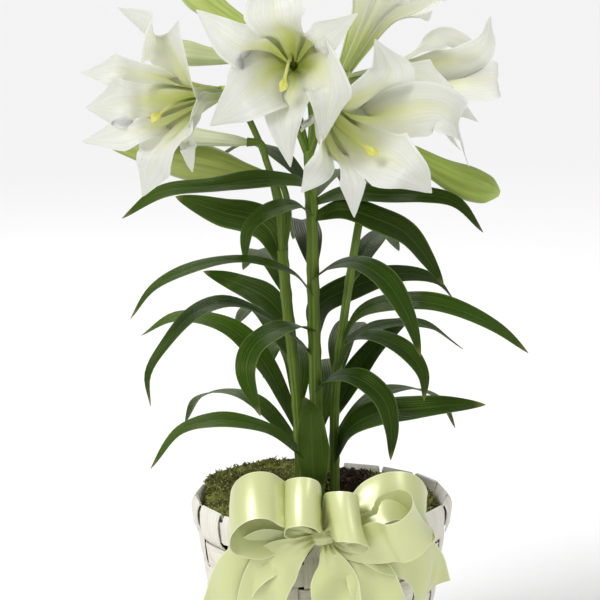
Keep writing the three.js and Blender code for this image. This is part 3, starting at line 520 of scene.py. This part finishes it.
def spokes(bloom):
    """Directions of the six tepals round the trumpet, 60 degrees apart, turned to suit their bends."""
    foot, axis, _ = trumpet(bloom)
    out = [row[0] - foot for row in bloom[3:]]
    first = unit(out[0] - axis * (out[0] @ axis))
    second = np.cross(axis, first)
    angles = np.array([math.atan2(v @ second, v @ first) for v in out])
    way = 1 if math.sin(angles[1] - angles[0]) > 0 else -1
    steps = way * np.arange(6) * math.pi / 3
    drift = angles - steps
    shift = math.atan2(np.sin(drift).sum(), np.cos(drift).sum())
    return [first * math.cos(a) + second * math.sin(a) for a in shift + steps]


def tepal(shape, bloom, row, inner, radial, stations=44, columns=16):
    bend, tip, width, twist = row
    foot, axis, length = trumpet(bloom)
    shift = -0.8 if inner else 0.8

    def at(share, out):
        return foot + axis * length * share + radial * (out + shift)

    mouth = bend + axis * (2.5 if inner else -3)
    path = smooth([at(0.05, 2.8), at(0.5, 8), at(0.95, 15), mouth, tip], stations)
    along = tangents(path)
    t = np.linspace(0, 1, len(path))
    lateral = np.tile(np.cross(axis, radial), (len(path), 1))
    across = turn(square_to(lateral, along), along, math.radians(twist) * ease(0.6, 1, t))
    inward = np.cross(along, across)
    out = path - foot
    out = np.linalg.norm(out - np.outer(out @ axis, axis), axis=1)
    bow = mix(1 / np.maximum(out, 3), 1 / 80, ease(0.45, 0.8, t))[:, None]
    half = np.minimum(width / 2 * tepal_shape(t, inner), (0.85 if inner else 0.5) * out)[:, None]
    u = np.linspace(-1, 1, columns + 1)[None]
    x = half * u
    open_ = ease(0.45, 0.75, t)[:, None]
    phase = rng.uniform(0, TURN, 3)
    tt = t[:, None]
    ruffle = open_ * half * u**2 * (0.2 * np.sin(TURN * 2.6 * tt + phase[0] + 1.5 * np.sign(u))
                                    + 0.07 * np.sin(TURN * 5.3 * tt + phase[1] * np.sign(u)))
    channel = -0.9 * np.exp(-(u / 0.13) ** 2) * hump(t, 0.05, 0.3, 0.85, 1)[:, None]
    rib = 0.22 * np.cos(u * math.pi * 5) * hump(t, 0.2, 0.4, 0.8, 1)[:, None]
    rise = (1 - np.cos(bow * x)) / bow + ruffle + channel + rib
    grid = surface(path, across, inward, np.sin(bow * x) / bow, rise)
    thick = (0.9 - 0.45 * tt) * (1 - 0.65 * u**2)
    shape.sheet(grid, thick, tone=rng.uniform())


def bloom_piece(number, bloom, material):
    shape = Shape()
    ways = spokes(bloom)
    for i, row in enumerate(bloom[3:]):
        tepal(shape, bloom, row, i % 2 == 0, ways[i])
    foot, axis, _ = trumpet(bloom)
    size = [[0, 2.8], [0.25, 4.3], [0.5, 5.2], [0.85, 5.2], [1, 4.0]]
    ends = [foot, foot + axis * KNOB_LENGTH / 2, foot + axis * KNOB_LENGTH]
    shape.tube(ends, 14, 24, lobed(size, 6))
    # the tube at the foot takes the colours of the tepals' roots
    shape.uv[-1][:, 1] *= 0.06
    piece(f"lily_bloom_{number}", shape, material, [f"bloom_{number}"], sharp=70)


def pistil_piece(number, bloom, material):
    foot, axis, _ = trumpet(bloom)
    start = foot + axis * (KNOB_LENGTH + 0.5)
    profile = [[0, 0.9], [0.86, 1.0], [0.91, 1.3], [0.945, 2.4], [0.975, 2.8], [1, 1.9]]

    def radius(t, a):
        return lookup(profile, t) * (1 + (0.28 if t > 0.9 else 0.08) * np.cos(3 * a))

    shape = Shape()
    shape.tube([start, *bloom[1:3]], 60, 24, radius)
    piece(f"lily_pistil_{number}", shape, material, [f"pistil_{number}"])


def bud_piece(name, material):
    foot, tip, largest, sag, outline, *_ = BUDS[name]
    middle = np.add(foot, tip) / 2 - [0, 0, sag]
    outline = smooth([[t, size, 0] for t, size in BUD_OUTLINES[outline]], 60)

    def radius(t, a):
        seam = np.abs(np.cos(1.5 * a)) ** 14
        keel = np.abs(np.cos(1.5 * a + math.pi / 2)) ** 6
        ribs = 1 - 0.12 * seam * ease(0.05, 0.2, t) + 0.03 * keel
        return largest * lookup(outline, t) * ribs

    shape = Shape()
    shape.tube([foot, middle, tip], 60, 54, radius, tone=rng.uniform())
    piece(f"lily_{name}", shape, material, [name])


# Basket

def wall_radius(z):
    return mix(FOOT_RADIUS, RIM_RADIUS, np.asarray(z, float) / BASKET_HEIGHT)


def polar(radius, angle, z, sideways=0.0):
    """Points at a radius, angle and height, moved sideways along the wall."""
    x = radius * np.cos(angle) - sideways * np.sin(angle)
    y = radius * np.sin(angle) + sideways * np.cos(angle)
    return np.stack(np.broadcast_arrays(x, y, z), -1)


def stave_width(z):
    return 2 * wall_radius(z) * math.tan(math.pi / STAVES) - STAVE_GAP


def weaver_band(row):
    """Lower and upper edge of a row of weavers."""
    bottom = FIRST_ROW + row * ROW_PITCH
    return bottom, bottom + ROW_PITCH - ROW_GAP


def side_of(index, row):
    """1 where a stave passes outside a row of weavers, -1 where it passes inside."""
    return 1 if (index + row) % 2 else -1


def spill_at(angle):
    """How far the moss spills over the rim in a direction: 1 at the back left."""
    return ease(0.5, 0.95, np.cos(angle - SPILL_SIDE))


def stave_piece(index, lift, material):
    angle = TURN * (index + 0.5) / STAVES
    profile = [[wall_radius(0), 0]]
    for row in range(ROWS):
        for z in weaver_band(row):
            profile.append([wall_radius(z) + side_of(index, row) * WEAVE_OFFSET, z])
    lift -= 1.6 * spill_at(angle)
    near = HOOP_SIDE * side_of(index, ROWS)
    hoop = wall_radius(HOOP_TOP)
    profile += [[hoop - HOOP_SIDE + near, HOOP_BOTTOM + 1], [hoop + near * 1.25, HOOP_TOP - 2],
                [hoop, BASKET_HEIGHT - 0.6 + lift], [hoop - near * 1.4, HOOP_TOP - 1],
                [hoop - 1.4 - near * 1.6, HOOP_BOTTOM + 2.5]]
    path = smooth([[r, 0, z] for r, z in profile], 110)
    r, z = path[:, :1], path[:, 2:]
    edge = waves(100 + index, 6, 0.01, 0.06)
    half = stave_width(z) / 2 + 0.25 * edge(path * [0, 0, 1])[:, None]
    u = np.linspace(-1, 1, 9)[None]
    cup = -0.25 * u**2 * np.sign(near)
    grid = polar(r + cup * 0.6, angle, z, half * u)
    shape = Shape()
    size = (0.026, lengths(path).sum() * MM)
    shape.sheet(grid, STRIP * (1 - 0.25 * u**8), tone=rng.uniform(), size=size)
    label = f"stave_{index + 1:02d}"
    piece(f"chip_{label}", shape, material, [label], sharp=40)


def weaver_piece(row, material):
    v = np.linspace(0, 1, 6)
    z = mix(*weaver_band(row), v)
    stations = []
    ripple = waves(200 + row, 6, 0.01, 0.05)
    for i in range(STAVES):
        angle = TURN * (i + 0.5) / STAVES
        for end in (-1, -0.6, 0, 0.6, 1):
            bulge = 0.35 * (1 - end**2)
            radius = wall_radius(z) - side_of(i, row) * (WEAVE_OFFSET + bulge)
            ring = polar(radius, angle, z, end * (stave_width(z) / 2 + 0.3))
            ring[:, 2] += 0.25 * ripple(ring) * np.abs(2 * v - 1)
            stations.append(ring)
    shape = Shape()
    shape.sheet(np.array(stations), STRIP, tone=rng.uniform(), closed=True, size=(0.016, 0.5))
    piece(f"chip_weaver_{row + 1}", shape, material, [f"weaver_{row + 1}"], sharp=40)


# Moss and soil

def hole_radius(angle):
    """Radius of the hole in the moss in a direction."""
    return MOSS_HOLE + CLEARING * np.maximum(0, np.cos(angle - CLEARING_SIDE)) ** 3


def grain_axes(source, size):
    """A grain's half widths, in directions drawn at random."""
    return np.linalg.qr(source.normal(size=(3, 3)))[0] * GRAIN_AXES * size


def moss_grid(around=220, top=40, rim=8):
    """The moss's surface: for each direction a ring over the top and back under it."""
    lump = waves(31, 12, 0.02, 0.09)
    fine = waves(32, 14, 0.12, 0.4)
    angles = circle(around)
    hole = hole_radius(angles)
    spill = spill_at(angles)
    over = ease(0, 0.5, spill)
    front = ease(0.3, 0.9, np.cos(angles + math.radians(90)))
    edge = 80.5 + 8 * ease(0.5, 1, spill)
    profile = [
        (hole, lookup(SOIL_TOP, hole) + 0.7), (hole + 1, 150.5), (mix(hole, 80, 0.3), 152.5 + 2 * spill),
        (mix(hole, 80, 0.65), 152.5 + 3 * spill), (74, 151 + 5 * spill - 2 * front),
        (edge - 3, 148 + 9.5 * spill - 2 * front), (edge, mix(144, 155.2, over) + 0.4 * spill),
        (80, mix(141, 154.2, over)), (79.5, 140), (75, lookup(SOIL_TOP, 75) + 0.7)]
    profile = np.array([np.broadcast_arrays(r, 0, z, angles)[:3] for r, z in profile])
    free = hump(np.linspace(0, 1, top + 1), 0, 0.12, 0.9, 1)
    rings = []
    for i in range(around):
        ring = np.vstack([smooth(profile[:7, :, i], top), smooth(profile[6:, :, i], rim)[1:]])
        points = polar(ring[:, 0], angles[i], ring[:, 2])
        upper = points[:top + 1]
        upper[:, 2] += free * (1.7 * lump(upper) + 0.9 * fine(upper))
        rings.append(points)
    return np.array(rings), top


def moss_piece(material):
    grid, top = moss_grid()
    shape = Shape()
    n, m = grid.shape[:2]
    offset = (grid[..., :2] - BARE_PATCH) / BARE_REACH
    bare = ease(1, 0.6, np.hypot(offset[..., 0], offset[..., 1]))
    faces = quads(np.pad(np.arange(n * m).reshape(n, m), (0, 1), "wrap"), (0, 3, 2, 1))
    shape.add(grid, faces, np.zeros((n * m, 2)), 0.2, 1 - bare.ravel())
    # crumbs of soil on the bare patch
    scatter = np.random.default_rng(51)
    spots = np.argwhere(bare[:, :top] > 0.15)
    for i, j in spots[scatter.integers(len(spots), size=PATCH_CRUMBS)]:
        axes = grain_axes(scatter, scatter.uniform(0.9, 2.4))
        centre = grid[i, j] + scatter.normal(size=3) * (1.2, 1.2, 0.3)
        shape.blob(centre, axes, scatter.uniform(), side=0, source=scatter)
    # sprigs
    for _ in range(SPRIGS):
        i, j = rng.integers(n), rng.integers(1, top)
        p = grid[i, j]
        q = grid[(i + 1) % n, j] - p
        w = grid[i, j + 1] - p
        normal = unit(np.cross(q, w))
        if normal[2] < 0:
            normal = -normal
        p = p + q * rng.uniform() + w * rng.uniform() - normal * 0.4
        lean = unit(normal + rng.normal(size=3) * 0.75)
        reach = rng.uniform(1.2, 3.2)
        side = unit(np.cross(lean, rng.normal(size=3)))
        other = np.cross(lean, side)
        bend = rng.normal(size=3) * 0.25 * reach
        width = rng.uniform(0.35, 0.75)
        base = [p + width * (math.cos(a) * side + math.sin(a) * other) for a in (0, 2.1, 4.2)]
        mid = [b + (p - b) * 0.2 + lean * reach * 0.55 for b in base]
        tip = p + lean * reach + bend
        tone = rng.uniform()
        if bare[i, j] < 0.2 + 0.75 * tone:
            shape.add(base + mid + [tip], SPRIG_FACES, np.zeros((7, 2)), tone)
    piece("sheet_moss", shape, material, ["moss"], sharp=180)


def soil_piece(material):
    shape = Shape()
    inset = POT_WALL + 0.4
    bottom = POT_BOTTOM + POT_WALL + 0.4
    lump = waves(41, 14, 0.03, 0.2)
    # the last rings, with no height of their own, follow the soil's top
    profile = [[0.5, bottom], [POT_FOOT - inset, bottom], [POT_TOP - inset - 0.2, 136.2], [74, 137.2],
               [60, 140.3], [45, 143.4]] + [[r, None] for r in range(40, 0, -2)]
    angles = circle(96)
    rings = []
    for r, z in profile:
        level = lookup(SOIL_TOP, r) if z is None else z
        ring = polar(r, angles, float(level))
        if z is None:
            ring[:, 2] += 0.8 * lump(ring) - 0.5
        rings.append(ring)
    shape.rings(np.array(rings)[::-1], tone=0.3)
    for _ in range(CRUMBS):
        r, a = 52 * math.sqrt(rng.uniform()), rng.uniform(0, TURN)
        if r > hole_radius(a) + 2:
            continue
        size = rng.uniform(0.7, 1.6) if rng.uniform() < 0.85 else rng.uniform(2.0, 3.6)
        centre = [r * math.cos(a), r * math.sin(a), lookup(SOIL_TOP, r) + 0.1 * size]
        gaps = [math.dist(centre[:2], stem[3][:2]) - stem[0] for stem in STEMS.values()]
        if min(gaps) < size + 0.6:
            continue
        axes = grain_axes(rng, size)
        shape.blob(centre, axes, rng.uniform())
    piece("potting_soil", shape, material, ["soil"], sharp=30)


# Bow

def ribbon(shape, row, stations=64, columns=14):
    """One loop or tail; returns its length in mm."""
    first, middle, last, *points = row
    loop = len(points) > 6
    path = smooth(points, stations)
    along = tangents(path)
    t = np.linspace(0, 1, len(path))
    across = [np.interp(t, [0, 0.5, 1], values) for values in zip(first, middle, last)]
    across = square_to(np.stack(across, 1), along)
    normal = np.cross(along, across)
    near_knot = np.minimum(t, 1 - t) if loop else t
    open_ = mix(0.2, 1, ease(0, 0.25 if loop else 0.4, near_knot))[:, None]
    u = np.linspace(-1, 1, columns + 1)[None]
    phase = rng.uniform(0, TURN, 2)
    pleat = (1 - ease(0, 0.3, near_knot))[:, None] * 1.3 * np.cos(u * math.pi * 2.5 + phase[0])
    drift = TURN * ((1.3 * t)[:, None] + (0 if loop else 0.45) * u)
    crown = (1.8 * (1 - u**2) if loop else 2.8) * np.sin(drift + phase[1])
    crown *= ease(0.1, 0.4, near_knot)[:, None]
    grid = surface(path, across, normal, u * RIBBON_WIDTH / 2 * open_, pleat + crown)
    # tone is random from strip to strip; the tails get 0.4 more, which is painted shade darkening every
    # tail
    shape.sheet(grid, 0.45, tone=0.6 * rng.uniform() + (0 if loop else 0.4))
    return lengths(path).sum()


def bow_piece(material):
    shape = Shape()
    total = sum(ribbon(shape, row) for row in BOW)
    size = [[0, 4.3], [0.25, 6.2], [0.5, 7.0], [0.75, 6.2], [1, 4.3]]
    # the knot
    shape.tube([[-7, -103, 153], [0, -105, 153.5], [7, -103, 153]], 26, 40, lobed(size, 9, 4), tone=0.4)
    obj = piece("ribbon_loops", shape, material, ["ribbon_bow"], sharp=60)


# Materials

class Paint:
    """Wires the shader nodes of one material."""

    def __init__(self, name, roughness):
        self.material = bpy.data.materials.new(name)
        self.material.use_nodes = True
        self.tree = self.material.node_tree
        self.shader = self.tree.nodes["Principled BSDF"]
        self.set("Roughness", roughness)

    def new(self, kind, inputs=None):
        """A new node, with its inputs given by name or number."""
        made = self.tree.nodes.new("ShaderNode" + kind)
        for key, value in (inputs or {}).items():
            self.plug(made.inputs[key], value)
        return made

    def plug(self, socket, value):
        if isinstance(value, bpy.types.NodeSocket):
            self.tree.links.new(value, socket)
        else:
            socket.default_value = value

    def set(self, key, value):
        self.plug(self.shader.inputs[key], value)

    def colour(self, value):
        self.set("Base Color", value)

    def attribute(self, name):
        made = self.new("Attribute")
        made.attribute_name = name
        return made.outputs["Fac"]

    def math(self, operation, a, b=0):
        made = self.new("Math", {0: a, 1: b})
        made.operation = operation
        return made.outputs[0]

    def plus(self, a, b):
        return self.math("ADD", a, b)

    def minus(self, a, b):
        return self.math("SUBTRACT", a, b)

    def times(self, a, b):
        return self.math("MULTIPLY", a, b)

    def off_centre(self, across):
        """Distance from the middle line of a surface, 0.5 at its edges."""
        return self.math("ABSOLUTE", self.minus(across, 0.5))

    def uv(self):
        """Both coordinates, then the one across and the one along the surface."""
        made = self.new("UVMap")
        made.uv_map = "UVMap"
        split = self.new("SeparateXYZ", {0: made.outputs[0]})
        return made.outputs[0], split.outputs[0], split.outputs[1]

    def noise(self, scale, detail, roughness, vector=None):
        """Noise in the object's own coordinates, unless others are given."""
        vector = vector or self.new("TexCoord").outputs["Object"]
        inputs = {"Vector": vector, "Scale": scale, "Detail": detail, "Roughness": roughness}
        return self.new("TexNoise", inputs).outputs["Fac"]

    def streaks(self, uv, across, along, detail, roughness):
        """Noise over a surface, drawn out along it."""
        mapping = self.new("Mapping", {"Vector": uv, "Scale": (across, along, 1)})
        return self.noise(1, detail, roughness, mapping.outputs[0])

    def ramp(self, value, *stops):
        made = self.new("ValToRGB", {0: value})
        ramp = made.color_ramp
        while len(ramp.elements) < len(stops):
            ramp.elements.new(0.5)
        for element, (place, colour) in zip(ramp.elements, stops):
            element.position = place
            element.color = rgb(colour)
        return made.outputs[0]

    def blend(self, factor, a, b):
        made = self.new("Mix")
        made.data_type = "RGBA"
        self.plug(made.inputs[0], factor)
        self.plug(made.inputs[6], rgb(a) if isinstance(a, str) else a)
        self.plug(made.inputs[7], rgb(b) if isinstance(b, str) else b)
        return made.outputs[2]

    def fade(self, value, low, high, first=0, last=1):
        """From first at low to last at high, smoothly."""
        made = self.new("MapRange", {0: value, 1: low, 2: high, 3: first, 4: last})
        made.interpolation_type = "SMOOTHSTEP"
        return made.outputs[0]

    def bump(self, height, distance, strength):
        made = self.new("Bump", {"Height": height, "Distance": distance, "Strength": strength})
        self.set("Normal", made.outputs[0])


def rgb(text):
    """Linear colour of a hex code."""
    values = [int(text[i:i + 2], 16) / 255 for i in (1, 3, 5)]
    return tuple(v / 12.92 if v < 0.04045 else ((v + 0.055) / 1.055) ** 2.4 for v in values) + (1,)


def chip_material():
    p = Paint("whitewashed_chipwood", 0.72)
    uv, _, _ = p.uv()
    grain = p.streaks(uv, 900, 28, 5, 0.62)
    long_grain = p.streaks(uv, 260, 9, 3, 0.5)
    patch = p.noise(38, 4, 0.6)
    base = p.ramp(grain, (0.3, "#CFC7B8"), (0.48, "#DFDCD2"), (0.7, "#E9E7E0"))
    worn = p.fade(p.plus(patch, p.times(long_grain, 0.35)), 0.74, 0.98)
    base = p.blend(p.times(worn, 0.55), base, "#C4A98C")
    p.colour(p.blend(p.times(p.attribute("tone"), 0.18), base, "#CBBBA6"))
    p.set("Roughness", p.fade(grain, 0.2, 0.8, 0.85, 0.6))
    p.bump(p.plus(grain, p.times(long_grain, 1.5)), 0.0006, 0.7)
    return p.material


def leaf_material():
    p = Paint("lily_leaf_and_stem", 0.4)
    p.set("Specular IOR Level", 0.22)
    p.set("Specular Tint", (0.9, 1, 0.4, 1))
    uv, across, along = p.uv()
    streak = p.streaks(uv, 34, 1.2, 3, 0.6)
    green = p.ramp(p.plus(p.times(streak, 0.75), p.times(p.attribute("tone"), 0.28)),
                   (0.28, "#102101"), (0.52, "#253F08"), (0.8, "#4D6A1A"))
    centre = p.off_centre(across)
    lines = p.math("SINE", p.times(across, 75))
    # midrib, side veins, pale root, yellowish margins lightened with a painted edge highlight, dry tip,
    # underside
    for share, colour in ((p.fade(centre, 0, 0.035, 0.35, 0), "#5A7428"),
                          (p.times(p.fade(lines, 0.3, 1), 0.14), "#567026"),
                          (p.fade(along, 0, 0.12, 0.5, 0), "#6F8547"),
                          # yellowish margin, made lighter as a painted edge highlight
                          (p.fade(centre, 0.43, 0.5, 0, 0.45), "#758645"),
                          (p.fade(along, 0.93, 1, 0, 0.8), "#857C48"),
                          (p.times(p.minus(1, p.attribute("side")), 0.4), "#5A7030")):
        green = p.blend(share, green, colour)
    stem = p.ramp(p.plus(p.streaks(uv, 16, 2, 3, 0.5), p.times(p.noise(60, 3, 0.6), 0.25)),
                  (0.35, "#3F5418"), (0.6, "#5A732A"), (0.85, "#7C9044"))
    p.colour(p.blend(p.attribute("kind"), stem, green))
    p.set("Roughness", p.plus(p.times(streak, 0.2), 0.28))
    p.bump(p.plus(p.times(lines, 0.4), streak), 0.00035, 0.6)
    return p.material


def tepal_material():
    p = Paint("lily_tepal", 0.48)
    uv, across, along = p.uv()
    streak = p.streaks(uv, 30, 1.5, 3, 0.6)
    centre = p.off_centre(across)
    white = p.ramp(streak, (0.25, "#D0D2BA"), (0.5, "#D8DAC6"), (0.8, "#E2E4D8"))
    # the inside is green in the throat, most of all along the middle
    reach = p.plus(along, p.times(p.minus(streak, 0.5), 0.18))
    middle = p.fade(centre, 0, 0.28, 0.16, 0)
    throat = p.fade(p.minus(reach, middle), 0.3, 0.76, 1, 0)
    depth = p.ramp(p.minus(along, middle), (0.06, "#B0C548"), (0.2, "#CCDC70"), (0.42, "#DAE192"))
    inside = p.blend(throat, white, depth)
    # the outside is green at the foot and along its rib
    ribs = p.fade(centre, 0, 0.2, 0.5, 0)
    outer = p.blend(p.times(ribs, p.fade(along, 0.35, 0.95, 1, 0.15)), white, "#C3CB90")
    foot = p.ramp(along, (0.05, "#7E9438"), (0.33, "#AEBB62"), (0.62, "#C8CF92"))
    outer = p.blend(p.fade(along, 0.22, 0.78, 0.95, 0), outer, foot)
    skin = p.blend(p.attribute("side"), outer, inside)
    # whiter edges: a painted highlight along each tepal's margin
    p.colour(p.blend(p.times(p.fade(centre, 0.42, 0.49), 0.6), skin, "#ECEDE4"))
    lines = p.math("SINE", p.times(across, 90))
    p.bump(p.plus(p.times(lines, 0.25), streak), 0.0003, 0.4)
    p.set("Subsurface Weight", 0.65)
    p.set("Subsurface Radius", (0.009, 0.0095, 0.0055))
    p.set("Subsurface Scale", 1)
    return p.material


def pistil_material():
    p = Paint("lily_pistil", 0.45)
    _, _, along = p.uv()
    fine = p.noise(900, 3, 0.6)
    body = p.ramp(along, (0.1, "#C3CC86"), (0.8, "#D5D894"), (0.92, "#D6D468"))
    p.colour(p.blend(p.times(fine, 0.25), body, "#B5B446"))
    p.bump(fine, 0.0004, 0.6)
    return p.material


def bud_material(name, dark, light, tip):
    p = Paint(name, 0.42)
    uv, across, along = p.uv()
    streak = p.streaks(uv, 26, 1.6, 4, 0.6)
    lines = p.math("COSINE", p.times(across, 3 * TURN))
    body = p.ramp(streak, (0.3, dark), (0.7, light))
    body = p.blend(p.fade(lines, 0.2, 1, 0, 0.45), body, light)
    body = p.blend(p.fade(along, 0, 0.14, 0.7, 0), body, dark)
    p.colour(p.blend(p.fade(along, 0.9, 1, 0, 0.8), body, tip))
    p.bump(streak, 0.0005, 0.6)
    return p.material


def ribbon_material():
    p = Paint("satin_ribbon", 0.3)
    uv, across, _ = p.uv()
    weave = p.streaks(uv, 90, 14, 2, 0.5)
    body = p.blend(p.fade(weave, 0.2, 0.8), "#CACF93", "#CDD398")
    # darker with the tone: random from strip to strip, plus painted shade on the tails, whose tone is
    # raised
    body = p.blend(p.times(p.attribute("tone"), 0.45), body, "#AFB86C")
    edge = p.fade(p.off_centre(across), 0.47, 0.492, 0, 0.6)
    p.colour(p.blend(edge, body, "#DEE1BC"))
    p.set("Metallic", 0.12)
    p.set("Specular IOR Level", 0.9)
    p.set("Coat Weight", 0.6)
    p.set("Coat Roughness", 0.3)
    p.set("Anisotropic", 0.5)
    p.set("Roughness", p.fade(weave, 0.2, 0.8, 0.33, 0.37))
    p.bump(weave, 0.00003, 0.1)
    return p.material


def moss_material():
    p = Paint("sheet_moss", 0.9)
    tone, side = p.attribute("tone"), p.attribute("side")
    patch = p.noise(55, 4, 0.6)
    fine = p.noise(700, 3, 0.7)
    body = p.ramp(p.plus(p.times(tone, 0.45), p.times(patch, 0.6)), (0.28, "#241F09"),
                  (0.42, "#5C601F"), (0.58, "#949A43"), (0.76, "#B9BC69"), (0.94, "#BFAF74"))
    body = p.blend(p.times(fine, 0.22), body, "#3B3B14")
    soil = p.ramp(p.plus(p.times(tone, 0.5), p.times(fine, 0.5)),
                  (0.25, "#120B05"), (0.5, "#2E1B0D"), (0.75, "#54341B"), (0.95, "#7E5A39"))
    p.colour(p.blend(side, soil, body))
    p.bump(fine, 0.0012, 0.9)
    return p.material


def soil_material():
    p = Paint("potting_soil", 0.95)
    fine = p.noise(420, 5, 0.7)
    p.colour(p.ramp(p.plus(p.times(p.attribute("tone"), 0.5), p.times(fine, 0.5)),
                    (0.25, "#170E07"), (0.5, "#36200F"), (0.75, "#5E3B20"), (0.95, "#8A6644")))
    p.bump(fine, 0.0012, 0.9)
    return p.material


def plastic_material():
    p = Paint("pot_plastic", 0.55)
    fine = p.noise(900, 2, 0.5)
    p.colour(p.ramp(fine, (0.3, "#262624"), (0.7, "#353533")))
    p.bump(fine, 0.0002, 0.4)
    return p.material


def bulb_material():
    p = Paint("bulb_scales", 0.5)
    scales = p.new("TexVoronoi", {"Scale": 90}).outputs["Distance"]
    p.colour(p.ramp(p.plus(p.times(scales, 0.8), p.times(p.noise(300, 4, 0.6), 0.4)),
                    (0.2, "#E6DDBC"), (0.6, "#D3C294"), (0.9, "#A98F5E")))
    p.bump(scales, 0.002, 0.8)
    return p.material


def wire_material():
    p = Paint("florist_wire", 0.4)
    fine = p.noise(700, 3, 0.6)
    p.colour(p.ramp(fine, (0.3, "#3F5A22"), (0.7, "#5A7A33")))
    p.bump(fine, 0.0002, 0.5)
    return p.material


# The object

chip = chip_material()
draw = STAVE_SEED
for i in range(STAVES):
    draw = draw * SEED_FACTOR % SEED_MODULUS
    stave_piece(i, STAVE_LIFT * draw / SEED_MODULUS, chip)
for row in range(ROWS):
    weaver_piece(row, chip)
for name, material in (("basket_base", chip), ("rim_hoop", chip), ("grower_pot", plastic_material()),
                       ("bulb", bulb_material()), ("bow_wire", wire_material())):
    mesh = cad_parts[name].data
    mesh.materials.clear()
    mesh.materials.append(material)
moss_piece(moss_material())
soil_piece(soil_material())
green = leaf_material()
for name in STEMS:
    leafy_stem(name, green)
white, yellow = tepal_material(), pistil_material()
for number, bloom in enumerate(BLOOMS, 1):
    bloom_piece(number, bloom, white)
    pistil_piece(number, bloom, yellow)
for name in BUDS:
    bud_piece(name, bud_material(f"{name}_skin", *BUDS[name][-3:]))
bow_piece(ribbon_material())

# Camera, floor and light, in metres and degrees

CAMERA_PLACE = (-0.015, -1.544, 0.570)
CAMERA_PITCH = 10.3
FLOOR_HALF = 40

scene.view_settings.view_transform = "Standard"
optics = bpy.data.cameras.new("camera")
optics.sensor_width = 36
optics.lens = 138.7
optics.clip_end = 200
camera = bpy.data.objects.new("camera", optics)
camera.location = CAMERA_PLACE
camera.rotation_euler = (math.radians(90 - CAMERA_PITCH), 0, 0)
scene.collection.objects.link(camera)
scene.camera = camera

floor_mesh = bpy.data.meshes.new("floor")
corners = [(FLOOR_HALF * x, FLOOR_HALF * y, 0) for x, y in ((-1, -1), (1, -1), (1, 1), (-1, 1))]
floor_mesh.from_pydata(corners, [], [(0, 1, 2, 3)])
floor = bpy.data.objects.new("floor", floor_mesh)
floor_paint = Paint("floor_paint", 0.9)
floor_paint.colour((0.95, 0.95, 0.95, 1))
floor_mesh.materials.append(floor_paint.material)
scene.collection.objects.link(floor)

world = bpy.data.worlds.new("studio")
world.use_nodes = True
sky = world.node_tree.nodes["Background"]
sky.inputs["Color"].default_value = (1, 1, 1, 1)
sky.inputs["Strength"].default_value = 0.58
scene.world = world


def lamp(name, kind, place, aim, energy):
    data = bpy.data.lights.new(name, kind)
    data.energy = energy
    light = bpy.data.objects.new(name, data)
    light.location = place
    light.rotation_euler = (Vector(aim) - Vector(place)).to_track_quat("-Z", "Y").to_euler()
    scene.collection.objects.link(light)
    return data


key = lamp("key", "SUN", (0, 0, 0), (0.62, 0.62, -0.72), 1.9)
key.angle = math.radians(25)
for name, place, aim, size, power in (("fill", (1.5, -1.6, 0.9), (0, 0, 0.3), 0.5, 6),
                                      ("back", (-0.5, 1.6, 1.7), (0, 0, 0.4), 0.9, 8)):
    disk = lamp(name, "AREA", place, aim, power)
    disk.shape = "DISK"
    disk.size = size
